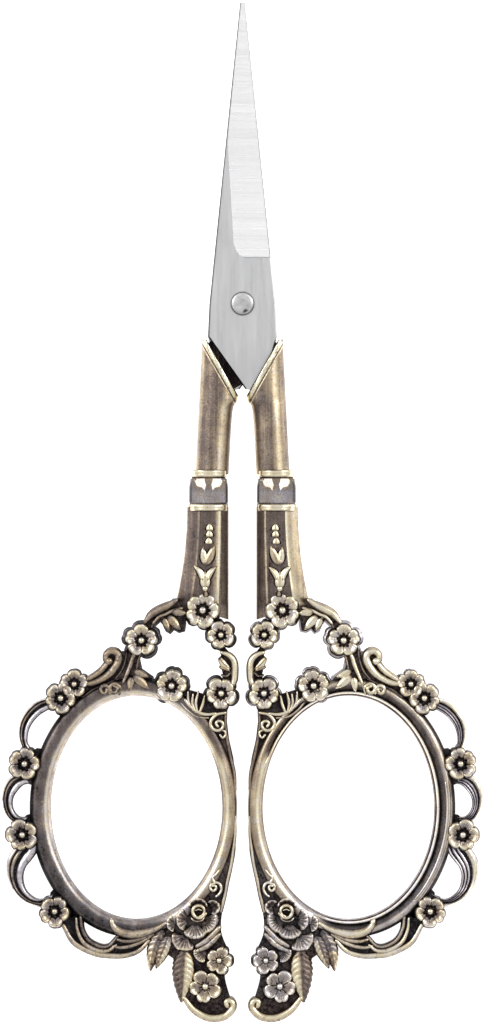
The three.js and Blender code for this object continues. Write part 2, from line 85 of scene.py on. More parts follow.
class ScissorsSizes(bpy.types.PropertyGroup):
    """Sizes of the blades, the rivet and the cast handles."""

    blade_reach: length("Blade reach", "From the pivot to the points", 37.8)
    blade_width: length("Blade width", "Width of a blade at the pivot", 8.3)
    blade_thickness: length("Blade thickness", "Thickness of the steel", 1.3)
    blade_gap: length("Blade gap", "Space between the two blades", 0.3)
    tip_width: length("Tip width", "Width of a blade at its point", 0.6)
    bevel_width: length("Bevel width", "Width of the ground face at its heel", 4.6)
    heel_reach: length("Heel reach", "From the pivot to the heel of the ground face", 5.7)
    heel_width: length("Heel corner width", "Width of the ground face's round corner", 1.75)
    heel_height: length("Heel corner height", "Height of the ground face's round corner", 2.6)
    rivet_diameter: length("Rivet head", "Diameter of the rivet's heads", 3.0)
    rivet_height: length("Rivet height", "Height of a rivet head", 0.5)
    pin_diameter: length("Rivet pin", "Diameter of the rivet's pin", 2.0)
    casting_depth: length("Casting depth", "Greatest depth of a handle, at its collar", 5.4)
    shoulder_drop: length("Shoulder drop", "From the pivot down to the handles' shoulders", 4.1)
    socket_depth: length("Socket depth", "Height of the vee mouth", 7.5)
    upper_shank_length: length("Upper shank", "From the shoulder to the collar", 16.8)
    upper_shank_width: length("Upper shank width", "Width above the collar", 4.15)
    upper_shank_depth: length("Upper shank depth", "Depth of the round shank", 4.2)
    shank_inset: length("Shank inset", "From the middle line to the shank", 1.75)
    collar_height: length("Collar height", "Height of the collar with its rims", 5.1)
    collar_width: length("Collar width", "Width of the collar over its rims", 5.0)
    lower_shank_length: length("Lower shank", "From the collar to the shank's foot", 13.4)
    lower_shank_width: length("Lower shank width", "Width under the collar", 5.2)
    lower_shank_depth: length("Lower shank depth", "Depth of the faceted shank", 4.6)
    foot_width: length("Foot width", "Width of the shank at its foot", 7.2)
    loop_drop: length("Loop drop", "From the foot to the middle of the finger hole", 23.8)
    loop_width: length("Loop width", "Width of the finger hole", 21.5)
    loop_height: length("Loop height", "Height of the finger hole", 28.0)
    band_depth: length("Band depth", "Depth of the band around the finger hole", 3.8)
    blossom_diameter: length("Blossom", "Diameter of an open blossom", 3.95)
    blossom_depth: length("Blossom depth", "Depth of the casting at a blossom", 5.0)
    petals: IntProperty(name="Petals", description="Petals of a blossom", default=5, min=4, max=8)


class ScissorsColours(bpy.types.PropertyGroup):
    """Colours of the steel, of the antique brass and of the floor."""

    recess: colour("Recess", "Patina left in the hollows", (0.019, 0.013, 0.015, 1.0))
    bronze: colour("Bronze", "Toned brass of the plain surfaces", (0.190, 0.147, 0.126, 1.0))
    brass: colour("Brass", "Brass where the patina is half rubbed off", (0.56, 0.445, 0.29, 1.0))
    gold: colour("Gold", "Bare brass on worn edges", (0.98, 0.90, 0.65, 1.0))
    steel: colour("Steel", "Flat of the blades", (0.7, 0.7, 0.7, 1.0))
    ground_steel: colour("Ground steel", "Ground face of the blades", (0.52, 0.52, 0.523, 1.0))
    rivet_steel: colour("Rivet steel", "Heads of the rivet", (0.62, 0.62, 0.62, 1.0))
    floor: colour("Floor", "Plain pale floor", (0.93, 0.93, 0.93, 1.0))


class Plan:
    """Stations of one half in millimetres about the pivot, worked out from the sizes."""

    blade_vee_drop = 6.6
    tang_length = 12
    inner_edge = 0.5
    socket_lip = 0.6
    hole_inset = 2.55
    band_shift = 0.4
    band_width = (2.25, 2.3)
    rose_station = (236.2, 1)

    def __init__(self, sizes):
        for name in ScissorsSizes.__annotations__:
            value = getattr(sizes, name)
            setattr(self, name, value if name == "petals" else 1000 * value)
        self.shoulder = -self.shoulder_drop
        self.blade_vee = self.shoulder - self.blade_vee_drop
        self.tang_end = self.blade_vee - self.tang_length
        self.socket = self.shoulder - self.socket_depth
        self.collar_top = self.shoulder - self.upper_shank_length
        self.collar_foot = self.collar_top - self.collar_height
        self.foot = self.collar_foot - self.lower_shank_length
        self.vee_top = Vector((self.blade_width / 2 + self.socket_lip, self.shoulder))
        self.vee_foot = Vector((self.inner_edge, self.socket))
        self.shank_outer = self.shank_inset + self.upper_shank_width
        self.hole = Vector((self.hole_inset + self.loop_width / 2, self.foot - self.loop_drop))
        self.hole_radius = Vector((self.loop_width / 2, self.loop_height / 2))
        self.band = self.hole + Vector((self.band_shift, 0.0))
        wide, tall = self.band_width
        self.band_radius = Vector((self.loop_width / 2 + wide, self.loop_height / 2 + tall))
        self.relief = self.blossom_depth / 2
        self.rose = self.on_band(*self.rose_station)

    def on_band(self, degrees, standoff):
        """A point by the finger loop: an angle around the band, and a distance out from its edge."""
        angle = math.radians(degrees)
        turn = Vector((math.cos(angle), math.sin(angle)))
        edge = self.band_radius * turn
        outward = Vector((turn.x / self.band_radius.x, turn.y / self.band_radius.y)).normalized()
        return self.band + edge + outward * standoff

    def by_band(self, pairs):
        """Points by the finger loop, from pairs of an angle and a distance."""
        return [self.on_band(degrees, standoff) for degrees, standoff in pairs]


def plan_of(context):
    """The plan for the scene's sizes."""
    return Plan(context.scene.scissors_sizes)


def mix(a, b, share):
    """The value at a share of the way from a to b."""
    return a + (b - a) * share


def ease(low, high, value):
    """Smooth step from 0 at low to 1 at high."""
    share = min(1.0, max(0.0, (value - low) / (high - low)))
    return share * share * (3 - 2 * share)


def flat(points):
    """Points as vectors."""
    return [Vector(point) for point in points]


def about(centre, points):
    """Points given from a centre."""
    return [centre + Vector(point) for point in points]


# Lines

def smooth_line(points, step):
    """Points along a smooth curve through the given ones, about a step apart."""
    ends = [2 * points[0] - points[1], *points, 2 * points[-1] - points[-2]]
    line = [points[0].copy()]
    for a, b, c, d in zip(ends, ends[1:], ends[2:], ends[3:]):
        count = max(1, round((c - b).length / step))
        for i in range(1, count + 1):
            t = i / count
            bend = (2 * a - 5 * b + 4 * c - d) * t * t + (3 * b - 3 * c + d - a) * t**3
            line.append(0.5 * (2 * b + (c - a) * t + bend))
    return line


def even_line(line, count):
    """The same line with evenly spaced points."""
    lengths = [0.0]
    for a, b in zip(line, line[1:]):
        lengths.append(lengths[-1] + (b - a).length)
    result, k = [], 0
    for i in range(count):
        goal = lengths[-1] * i / (count - 1)
        while k < len(line) - 2 and lengths[k + 1] < goal:
            k += 1
        share = (goal - lengths[k]) / max(1e-9, lengths[k + 1] - lengths[k])
        result.append(line[k].lerp(line[k + 1], share))
    return result


def normals_of(line):
    """Unit vectors to the left of a line, one at each of its points."""
    result = []
    for i in range(len(line)):
        along = (line[min(i + 1, len(line) - 1)] - line[max(i - 1, 0)]).normalized()
        result.append(Vector((-along.y, along.x)))
    return result


def spread(values, share):
    """A value from a list that is spread evenly over a length."""
    place = share * (len(values) - 1)
    k = min(int(place), len(values) - 2)
    return mix(values[k], values[k + 1], place - k)


def curl(eye, radius, start_degrees, sweep_degrees, tighten=0.55):
    """Points that wind inward about an eye."""
    points = []
    for i in range(9):
        angle = math.radians(start_degrees + sweep_degrees * i / 8)
        points.append(eye + Vector((math.cos(angle), math.sin(angle))) * radius * (1 - tighten * i / 8))
    return points


# Mesh tools

def new_casting():
    """A bmesh in millimetres. Its vertices carry their relief, from 0 in a hollow to 1 on a rubbed crest,
    with painted highlights and painted shade added to it in places, and their pewter, the share of grey base
    metal that shows through the brass, which on the collar's lower half paints a reflection.
    """
    bm = bmesh.new()
    bm.verts.layers.float.new("relief")
    bm.verts.layers.float.new("pewter")
    return bm


def relief_and_shading_of(bm):
    """The layer of relief, which also carries painted highlights and painted shade."""
    return bm.verts.layers.float["relief"]


def whole(bm):
    """All vertices, edges and faces."""
    return bm.verts[:] + bm.edges[:] + bm.faces[:]


def verts_in(made):
    """The vertices in what an operator has made."""
    return [item for item in made["geom"] if isinstance(item, bmesh.types.BMVert)]


def add(target, part):
    """Adds a finished part to a casting."""
    mesh = bpy.data.meshes.new("part")
    part.to_mesh(mesh)
    part.free()
    target.from_mesh(mesh)
    bpy.data.meshes.remove(mesh)


def face_out(bm):
    """Turns all faces outward."""
    bmesh.ops.recalc_face_normals(bm, faces=bm.faces)


def mirror_down(bm):
    """Mirrors one face of a part to the other, and joins them at the mid-plane."""
    bmesh.ops.mirror(bm, geom=whole(bm), axis="Z", merge_dist=MERGE)
    bmesh.ops.remove_doubles(bm, verts=bm.verts, dist=MERGE)
    face_out(bm)


def spin_round(bm, steps, merge):
    """Spins a profile once about the Z axis."""
    bmesh.ops.spin(
        bm, geom=bm.verts[:] + bm.edges[:], cent=(0, 0, 0), axis=(0, 0, 1), angle=2 * math.pi, steps=steps,
        use_merge=True,
    )
    bmesh.ops.remove_doubles(bm, verts=bm.verts, dist=merge)


def draw_loop(bm, places, tones):
    """A closed loop of vertices and edges."""
    layer = relief_and_shading_of(bm)
    loop = []
    for place, tone in zip(places, tones):
        vertex = bm.verts.new(place)
        vertex[layer] = tone
        loop.append(vertex)
    for a, b in zip(loop, loop[1:] + loop[:1]):
        bm.edges.new((a, b))
    return loop


def grow(bm, loop, places):
    """Extrudes a closed loop once, and moves each new vertex to its place."""
    edges = [bm.edges.get(pair) for pair in zip(loop, loop[1:] + loop[:1])]
    fresh = set(verts_in(bmesh.ops.extrude_edge_only(bm, edges=edges)))
    grown = []
    for old, place in zip(loop, places):
        vertex = next(e.other_vert(old) for e in old.link_edges if e.other_vert(old) in fresh)
        vertex.co = place
        grown.append(vertex)
    return grown


def bar(rings, tones):
    """A closed bar extruded from ring to ring, with a row of tones for each ring."""
    bm = new_casting()
    layer = relief_and_shading_of(bm)
    loop = draw_loop(bm, rings[0], tones[0])
    bm.faces.new(loop)
    for ring, row in zip(rings[1:], tones[1:]):
        loop = grow(bm, loop, ring)
        for vertex, tone in zip(loop, row):
            vertex[layer] = tone
    bm.faces.new(loop)
    face_out(bm)
    return bm


def sweep(target, rings, tones):
    """Adds a bar with the same tones around each of its rings."""
    add(target, bar(rings, [tones] * len(rings)))


def both_faces(top, under=None):
    """The ring of a section of (share across, height, tone): one face, then the other or the same again."""
    return top + [(share, -height, tone) for share, height, tone in reversed((under or top)[1:-1])]


def ribbon(target, left, right, section, under):
    """A strap between two lines, with a section across each of its faces."""
    ring = both_faces(section, under)
    rings = []
    for a, b in zip(left, right):
        across = [a.lerp(b, share) for share, height, tone in ring]
        rings.append([(p.x, p.y, height) for p, (share, height, tone) in zip(across, ring)])
    sweep(target, rings, [tone for share, height, tone in ring])


def strand(target, points, widths, crest, tones=RUBBED, step=0.22):
    """A rounded bar through flat points, the same on both faces, with round tips."""
    line = smooth_line(points, step)
    line = even_line(line, len(line))
    normals = normals_of(line)
    count = len(line) - 1
    stations = [(p, n, spread(widths, i / count), 0.0) for i, (p, n) in enumerate(zip(line, normals))]
    for end, order in ((0, 1), (-1, -1)):
        point, normal, width, sink = stations[end]
        outward = Vector((normal.y, -normal.x)) * -order
        tip = []
        for degrees in (35, 65, 86):
            angle = math.radians(degrees)
            place = point + outward * (width / 2 * math.sin(angle))
            tip.append((place, normal, width * math.cos(angle), width / 2 * (1 - math.cos(angle))))
        stations = tip[::-1] + stations if order == 1 else stations + tip
    arc = [math.pi * i / 8 for i in range(9)]
    rings = []
    for point, normal, width, sink in stations:
        radius = width / 2
        top = [(-radius, 0.0)]
        top += [(-radius * math.cos(a), crest - sink - radius * (1 - math.sin(a))) for a in arc]
        top.append((radius, 0.0))
        ring = top + [(x, -z) for x, z in reversed(top[1:-1])]
        rings.append([(point.x - normal.x * x, point.y - normal.y * x, z) for x, z in ring])
    shades = [tones[0]] + [mix(*tones, math.sin(a) ** 2) for a in arc] + [tones[0]]
    sweep(target, rings, shades + shades[-2:0:-1])


def strands(target, rows):
    """Adds strands from rows of points, widths, crest and, where they aren't the usual ones, tones."""
    for points, *rest in rows:
        strand(target, flat(points), *rest)


def two_faced(target, bm):
    """Closes a relief: its border goes down to the mid-plane, and the other face mirrors it."""
    layer = relief_and_shading_of(bm)
    border = [e for e in bm.edges if e.is_boundary]
    for vertex in verts_in(bmesh.ops.extrude_edge_only(bm, edges=border)):
        vertex.co.z = 0.0
        vertex[layer] = 0.1
    mirror_down(bm)
    add(target, bm)


def slab(target, outline, foot, height, tone):
    """A flat piece of even height."""
    bm = new_casting()
    loop = draw_loop(bm, [(p.x, p.y, foot) for p in outline], [tone] * len(outline))
    bm.faces.new(loop)
    risen = verts_in(bmesh.ops.extrude_face_region(bm, geom=bm.faces[:]))
    bmesh.ops.translate(bm, verts=risen, vec=(0, 0, height))
    face_out(bm)
    add(target, bm)


def plate(target, outline, top, tone):
    """A flat web between the ornament, the same on both faces."""
    slab(target, outline, -top, 2 * top, tone)


def flange(target, outline, width, top):
    """The low flat border that the mould leaves round a web."""
    ring = [outline[-1]] + outline + [outline[0]]
    around = sum(a.cross(b) for a, b in zip(outline, ring[2:]))
    out = math.copysign(width, -around)
    wide = [p + n * out for p, n in zip(outline, normals_of(ring)[1:-1])]
    plate(target, wide, top, 0.74)


def paint_left_front_shade(bm, share):
    """Paints shade on the far face of a casting, which is the front of the left handle: the relief there is
    lowered by a share.
    """
    layer = relief_and_shading_of(bm)
    for vertex in bm.verts:
        if vertex.co.z < 0:
            vertex[layer] *= 1 - share(vertex.co)


def beads(target, centre, radius, top):
    """A small bead on each face, rubbed bright on top."""
    for face in (1, -1):
        bm = new_casting()
        layer = relief_and_shading_of(bm)
        bmesh.ops.create_uvsphere(bm, u_segments=18, v_segments=12, radius=radius)
        for vertex in bm.verts:
            vertex[layer] = mix(*RUBBED, ease(0.0, 0.9, abs(vertex.co.z) / radius))
        bmesh.ops.translate(bm, verts=bm.verts, vec=(centre[0], centre[1], face * (top - radius)))
        add(target, bm)


def leaf(
    target, stalk, tip, width, top, veins=0, bend=0.0, fold=0.35, halves=(1.0, 1.0), tones=(0.1, 1.0),
    belly=0.72, rib=1.0,
):
    """A pointed leaf with a folded midrib; each half is painted to its own brightness, as painted light and
    shade, and has veins if asked.
    """
    bm = new_casting()
    layer = relief_and_shading_of(bm)
    columns, rows = (36, 16) if veins else (18, 10)
    bmesh.ops.create_grid(bm, x_segments=columns, y_segments=rows, size=1.0)
    stalk, tip = Vector(stalk), Vector(tip)
    along = tip - stalk
    side = Vector((-along.y, along.x)).normalized()
    for vertex in bm.verts:
        u, v = (vertex.co.x + 1) / 2, vertex.co.y
        slant = veins * (u - 0.32 * abs(v) * width / along.length)
        shade = mix(*halves, ease(-0.12, 0.12, v))
        tooth = 0.45 * (1.2 - shade) * abs(slant % 1.0 - 0.5) if veins else 0.0
        half = width / 2 * (math.sin(math.pi * (0.04 + 0.94 * u) ** belly) ** 0.8) * (1 + tooth) + 0.02
        place = stalk + along * u + side * (v * half + bend * math.sin(math.pi * u))
        ridge = 0.5 + 0.5 * math.cos(2 * math.pi * slant) if veins else 1.0
        midrib = rib * math.exp(-((v / 0.13) ** 2))
        fall = fold * abs(v) ** 1.3 + 0.25 * ease(0.8, 1.0, abs(v)) + 0.22 * ease(0.75, 1.0, u)
        sunk = 0.06 * (1 - ridge) * (1 - midrib) * (veins > 0) + 0.12 * midrib * ease(1.0, 0.6, u)
        vertex.co = (place.x, place.y, top - fall - sunk)
        tone = mix(0.72, 1.0, ridge) * (1 - 0.35 * midrib) * (1 - 0.8 * ease(0.86, 1.0, abs(v))) * shade
        vertex[layer] = mix(*tones, tone * ease(-0.1, 0.2, u))
    two_faced(target, bm)


def shell(target, centre, radii, degrees, heights, hatch, tones, corner=0.2):
    """A cupped petal about a centre, from its root to its rolled rim, with hatch lines if asked."""
    bm = new_casting()
    layer = relief_and_shading_of(bm)
    bmesh.ops.create_grid(bm, x_segments=16, y_segments=30, size=1.0)
    for vertex in bm.verts:
        u, v = (vertex.co.x + 1) / 2, vertex.co.y
        reach = radii[1] * (1 - corner * v**4)
        radius = mix(radii[0], max(reach, radii[0] + 0.05), u)
        angle = math.radians(mix(*degrees, (v + 1) / 2))
        lift = ease(0.0, 0.85, u)
        roll = ease(0.84, 1.0, u) * 0.38
        edge = ease(0.86, 1.0, abs(v)) * 0.3
        line = 0.5 + 0.5 * math.cos(math.pi * hatch * v) if hatch else 0.6
        groove = 0.07 * (1 - line) * ease(0.1, 0.3, u) * (1 - ease(0.78, 0.9, u)) if hatch else 0.0
        height = mix(*heights, lift) - roll - edge - groove
        vertex.co = (centre[0] + radius * math.cos(angle), centre[1] + radius * math.sin(angle), height)
        rim = math.exp(-(((u - 0.87) / 0.08) ** 2))
        body = (0.16 + 0.7 * u) * mix(0.42, 1.0, line) * ease(-0.1, 0.25, u)
        tone = mix(body, 1.0, rim) * (1 - 0.6 * ease(0.88, 1.0, abs(v)))
        vertex[layer] = mix(*tones, tone * (1 - 0.5 * ease(0.93, 1.0, u)))
    two_faced(target, bm)


def blossom(
    target, centre, diameter, turn_degrees, top, petals, skirt, pit=0.66, reach=0.235, mouth=0.41, body=0.78
):
    """An open blossom: broad rimmed petals about a dark star, a ball in the middle, and a flat skirt."""
    bm = new_casting()
    layer = relief_and_shading_of(bm)
    segments = 14 * petals
    radius = (0.5 - reach) * diameter
    reach = reach * diameter
    scale = diameter / DRAWN_BLOSSOM
    shares = [0.1, 0.22, 0.3, 0.36, 0.41, 0.46, 0.51, 0.57, 0.64, 0.71]
    shares += [0.78, 0.84, 0.9, 0.95, 0.985, 1.0]

    def station(k, share):
        angle = 2 * math.pi * k / segments
        off = (angle + math.pi / petals) % (2 * math.pi / petals) - math.pi / petals
        notch = abs(off) * petals / math.pi
        outline = reach * math.cos(off) + math.sqrt(radius**2 - (reach * math.sin(off)) ** 2)
        petal = round((angle - off) * petals / (2 * math.pi))
        split = 0.5 + 0.5 * math.sin(1.9 * petal + 0.07 * turn_degrees)
        outline *= 1 - 0.07 * split * math.exp(-((notch / 0.22) ** 2)) - 0.05 * ease(0.75, 1.0, notch)
        uneven = math.sin(2.4 * petal + 0.1 * turn_degrees) * (1 - ease(0.7, 1.0, notch))
        outline *= 1 + 0.03 * uneven
        star = mouth + 0.06 * math.cos(2 * math.pi * notch) - 0.02
        open_petal = ease(star - 0.12, star + 0.08, share)
        rim = math.exp(-(((share - 0.83) / 0.12) ** 2))
        outside = ease(mouth, mouth + 0.15, share)
        part = ease(0.84, 1.0, notch) * outside
        crease = split * math.exp(-((notch / 0.14) ** 2)) * outside
        height = -pit * (1 - open_petal) - 0.14 * open_petal * (1 - rim) - 0.15 * part - 0.045 * crease
        height -= 0.4 * ease(0.88, 1.0, share) + 0.08 * (1 + uneven) * open_petal
        lines = 0.5 + 0.5 * math.cos(6 * math.pi * notch)
        hatch = (0.8 - body) * lines * (1 - rim)
        streak = lines * (1 - ease(star + 0.02, star + 0.3, share))
        tone = open_petal * (body - hatch + (1 - body) * rim) * (1 - 0.5 * streak)
        tone = max(tone, 0.09) - 0.2 * part * ease(0.5, 0.85, share) - 0.4 * crease * ease(0.6, 0.9, share)
        tone *= 1 - 0.75 * ease(0.9, 1.0, share)
        turned = angle + math.radians(turn_degrees) + math.pi / 2
        place = (
            centre[0] + share * outline * math.cos(turned),
            centre[1] + share * outline * math.sin(turned),
            top + height * scale,
        )
        return place, max(0.0, tone)

    bmesh.ops.create_circle(bm, cap_ends=True, cap_tris=True, segments=segments, radius=1.0)
    loop = [v for v in bm.verts if v.is_boundary]
    loop.sort(key=lambda v: math.atan2(v.co.y, v.co.x) % (2 * math.pi))
    for vertex in bm.verts:
        if not vertex.is_boundary:
            vertex.co = (centre[0], centre[1], top - pit * scale)
    for row, share in enumerate(shares):
        stations = [station(k, share) for k in range(segments)]
        if row:
            loop = grow(bm, loop, [place for place, tone in stations])
        for vertex, (place, tone) in zip(loop, stations):
            vertex.co = place
            vertex[layer] = tone
    flare = 1.0 + 2 * skirt / diameter
    border = [(0.99, 0.56, 0.03), (mix(1.0, flare, 0.18), 0.37, 0.1)]
    border += [(mix(1.0, flare, 0.3), 0.36, 0.74), (mix(1.0, flare, 0.85), 0.34, 0.72), (flare, 0.28, 0.4)]
    for share, part, tone in border:
        height = part * top
        loop = grow(bm, loop, [(*station(k, share)[0][:2], height) for k in range(segments)])
        for vertex in loop:
            vertex[layer] = tone
    two_faced(target, bm)
    beads(target, centre, 0.42 * scale, top - 0.1 * scale)


# Finishes

def add_node(tree, kind, place, inputs, **settings):
    """A node with its settings; an input takes a plain value, or a link from another node's output."""
    node = tree.nodes.new(kind)
    node.location = place
    for name, value in settings.items():
        setattr(node, name, value)
    for key, value in inputs.items():
        if isinstance(value, bpy.types.NodeSocket):
            tree.links.new(value, node.inputs[key])
        else:
            node.inputs[key].default_value = value
    return node


def calculate(tree, place, operation, *values, clamp=False):
    """The result of a sum, a difference or a product of values or outputs."""
    inputs = dict(enumerate(values))
    node = add_node(tree, "ShaderNodeMath", place, inputs, operation=operation, use_clamp=clamp)
    return node.outputs[0]


def map_range(tree, place, value, low, high, to_low=0.0, to_high=1.0):
    """A value mapped from one range to another."""
    inputs = {"Value": value, "From Min": low, "From Max": high, "To Min": to_low, "To Max": to_high}
    return add_node(tree, "ShaderNodeMapRange", place, inputs).outputs["Result"]


def noise(tree, place, vector, scale, detail, roughness=0.5):
    """Noise at a place."""
    inputs = {"Vector": vector, "Scale": scale, "Detail": detail, "Roughness": roughness}
    return add_node(tree, "ShaderNodeTexNoise", place, inputs).outputs["Fac"]


def mix_colours(tree, place, factor, first, second, blend="MIX"):
    """Two colours mixed; they are the node's inputs 6 and 7, and the result is its output 2."""
    inputs = {"Factor": factor, 6: first, 7: second}
    return add_node(tree, "ShaderNodeMix", place, inputs, data_type="RGBA", blend_type=blend).outputs[2]


def attribute(tree, place, name):
    """A value that the vertices carry."""
    return add_node(tree, "ShaderNodeAttribute", place, {}, attribute_name=name).outputs["Fac"]


def stretched(tree, place, scale):
    """A place on the object, scaled along each axis, for lines that run one way."""
    spot = add_node(tree, "ShaderNodeTexCoord", (place[0] - 200, place[1]), {}).outputs["Object"]
    return add_node(tree, "ShaderNodeMapping", place, {"Vector": spot, "Scale": scale}).outputs["Vector"]


def new_group(name, inputs, outputs):
    """An empty shader node group with its sockets, and the outputs of its input node."""
    tree = bpy.data.node_groups.new(name, "ShaderNodeTree")
    for kind, sockets in (("INPUT", inputs), ("OUTPUT", outputs)):
        for label, socket in sockets.items():
            tree.interface.new_socket(name=label, in_out=kind, socket_type=f"NodeSocket{socket}")
    start = tree.nodes.new("NodeGroupInput")
    start.location = (-900, 0)
    return tree, start.outputs


def end_group(tree, place, results):
    """Links the results to the group's output node."""
    add_node(tree, "NodeGroupOutput", place, results)
    return tree


def rubbed_patina():
    """Brass toned dark in its hollows and rubbed bright on its crests, with streaks and specks; its relief
    input also brings painted highlights and painted shade.
    """
    found = bpy.data.node_groups.get("rubbed_patina")
    if found:
        return found
    inputs = {"Relief": "Float", "Pewter": "Float", "Vector": "Vector", "Streaks": "Float", "Pits": "Float"}
    for label in PATINA_COLOURS:
        inputs[label] = "Color"
    outputs = {"Color": "Color", "Roughness": "Float", "Height": "Float"}
    tree, given = new_group("rubbed_patina", inputs, outputs)
    spot = add_node(tree, "ShaderNodeTexCoord", (-1300, -200), {}).outputs["Object"]
    streak = noise(tree, (-900, -150), given["Vector"], 1.0, 4.0, 0.62)
    fine = noise(tree, (-900, -400), spot, 5200.0, 3.0, 0.6)
    broad = noise(tree, (-900, -620), spot, 420.0, 2.0)
    centred = calculate(tree, (-650, -150), "SUBTRACT", streak, 0.5)
    swing = calculate(tree, (-480, -150), "MULTIPLY", centred, given["Streaks"])
    speck = map_range(tree, (-650, -400), fine, 0.3, 0.7, -0.09, 0.09)
    cloud = map_range(tree, (-650, -640), broad, 0.3, 0.7, -0.07, 0.07)
    streaked = calculate(tree, (-300, -60), "ADD", given["Relief"], swing)
    specked = calculate(tree, (-140, -160), "ADD", streaked, speck)
    clouded = calculate(tree, (-60, -260), "ADD", specked, cloud)
    pore = noise(tree, (-900, -1080), spot, 2300.0, 2.0, 0.6)
    pitted = map_range(tree, (-650, -1080), pore, 0.56, 0.68)
    deep = calculate(tree, (-400, -1080), "MULTIPLY", pitted, given["Pits"])
    rub = calculate(tree, (60, -200), "SUBTRACT", clouded, deep, clamp=True)
    tone = given["Recess"]
    steps = (("Bronze", 0.0, 0.34, 180), ("Brass", 0.36, 0.66, 340), ("Gold", 0.64, 1.0, 500))
    for label, low, high, x in steps:
        share = map_range(tree, (x, -320), rub, low, high)
        tone = mix_colours(tree, (x, 120), share, tone, given[label])
    rough = map_range(tree, (340, -560), rub, 0.0, 1.0, 0.5, 0.24)
    patch = noise(tree, (-900, -860), spot, 900.0, 2.0, 0.6)
    spread_out = map_range(tree, (-650, -860), patch, 0.3, 0.7, -0.3, 0.3)
    bare = calculate(tree, (340, -760), "ADD", given["Pewter"], spread_out, clamp=True)
    grey = add_node(tree, "ShaderNodeRGBToBW", (660, 260), {"Color": tone}).outputs["Val"]
    metal = mix_colours(tree, (820, 260), 1.0, grey, (1.03, 0.97, 1.04, 1.0), "MULTIPLY")
    cover = mix_colours(tree, (980, 120), bare, tone, metal)
    return end_group(tree, (1160, 0), {"Color": cover, "Roughness": rough, "Height": specked})


def grind_lines():
    """Fine lines of ground steel, across or along a blade, with broad clouds in their shade."""
    found = bpy.data.node_groups.get("grind_lines")
    if found:
        return found
    outputs = {"Shade": "Float", "Roughness": "Float", "Height": "Float"}
    tree, given = new_group("grind_lines", {"Vector": "Vector", "Depth": "Float"}, outputs)
    lines = noise(tree, (-600, 100), given["Vector"], 1.0, 5.0, 0.7)
    cloud = noise(tree, (-600, -200), given["Vector"], 0.18, 2.0)
    both = calculate(tree, (-380, 0), "MULTIPLY_ADD", cloud, 0.3, lines)
    centred = calculate(tree, (-220, 0), "SUBTRACT", both, 0.65)
    depth = calculate(tree, (-60, 0), "MULTIPLY", centred, given["Depth"])
    shade = calculate(tree, (120, 80), "ADD", depth, 1.0)
    rough = map_range(tree, (120, -140), lines, 0.3, 0.7, 0.24, 0.42)
    return end_group(tree, (700, 0), {"Shade": shade, "Roughness": rough, "Height": lines})


def new_metal(name):
    """A new metal, its node tree and its shader."""
    material = bpy.data.materials.new(name)
    material.use_nodes = True
    shader = material.node_tree.nodes["Principled BSDF"]
    shader.inputs["Metallic"].default_value = 1.0
    return material, material.node_tree, shader


def join_shader(tree, shader, tint, rough, height, strength, distance):
    """Links a colour, a roughness and a bumped height to a shader."""
    inputs = {"Height": height, "Strength": strength, "Distance": distance}
    bump = add_node(tree, "ShaderNodeBump", (-300, -250), inputs)
    tree.links.new(tint, shader.inputs["Base Color"])
    tree.links.new(rough, shader.inputs["Roughness"])
    tree.links.new(bump.outputs["Normal"], shader.inputs["Normal"])


def antique_brass(name, streaks, scale, pits, polish=1.0):
    """Cast brass with a dark tone, rubbed on the crests; a low polish value is a smooth one."""
    found = bpy.data.materials.get(name)
    if found:
        return found
    colours = bpy.context.scene.scissors_colours
    material, tree, shader = new_metal(name)
    inputs = {
        "Relief": attribute(tree, (-900, 0), "relief"),
        "Pewter": attribute(tree, (-900, 200), "pewter"),
        "Vector": stretched(tree, (-900, -200), scale),
        "Streaks": streaks,
        "Pits": pits,
    }
    for label in PATINA_COLOURS:
        inputs[label] = getattr(colours, label.lower())
    patina = add_node(tree, "ShaderNodeGroup", (-650, 0), inputs, node_tree=rubbed_patina()).outputs
    smooth = calculate(tree, (-300, -60), "MULTIPLY", patina["Roughness"], polish)
    join_shader(tree, shader, patina["Color"], smooth, patina["Height"], 0.25 * polish**3, 0.00004)
    return material


def cast_finish():
    """The finish of the cast ornament."""
    return antique_brass("cast_antique_brass", 0.4, (1100.0, 800.0, 1100.0), 0.24)


def steel(name, tint, scale, depth, bump_strength):
    """Steel with fine lines that run along the shorter scale, darker where its relief is low: a real flaw on
    the rivet, and painted shade along the blades' left edges, near the socket and round the rivet's rim.
    """
    found = bpy.data.materials.get(name)
    if found:
        return found
    material, tree, shader = new_metal(name)
    inputs = {"Vector": stretched(tree, (-900, 0), scale), "Depth": depth}
    lines = add_node(tree, "ShaderNodeGroup", (-680, 0), inputs, node_tree=grind_lines()).outputs
    paint = mix_colours(tree, (-380, 120), 1.0, tint, lines["Shade"], "MULTIPLY")
    # Low relief darkens the steel: painted shade, and the rivet's flaw.
    flaw_and_shade_factor = map_range(tree, (-480, 320), attribute(tree, (-680, 320), "relief"), 0.0, PLAIN_TONE, 0.08, 1.0)
    flawed_and_shaded = mix_colours(tree, (-180, 160), 1.0, paint, flaw_and_shade_factor, "MULTIPLY")
    join_shader(tree, shader, flawed_and_shaded, lines["Roughness"], lines["Height"], bump_strength, 0.00002)
    return material


# Finished pieces

def finish_mesh(name, bm, matrix, materials, sharp_degrees=40):
    """A finished object at the origin, with its place in its mesh."""
    mesh = bpy.data.meshes.new(name)
    bm.to_mesh(mesh)
    mesh.transform(matrix)
    for material in materials:
        mesh.materials.append(material)
    mesh.polygons.foreach_set("use_smooth", [True] * len(mesh.polygons))
    mesh.set_sharp_from_angle(angle=math.radians(sharp_degrees))
    piece = bpy.data.objects.new(name, mesh)
    bpy.context.scene.collection.objects.link(piece)
    return piece


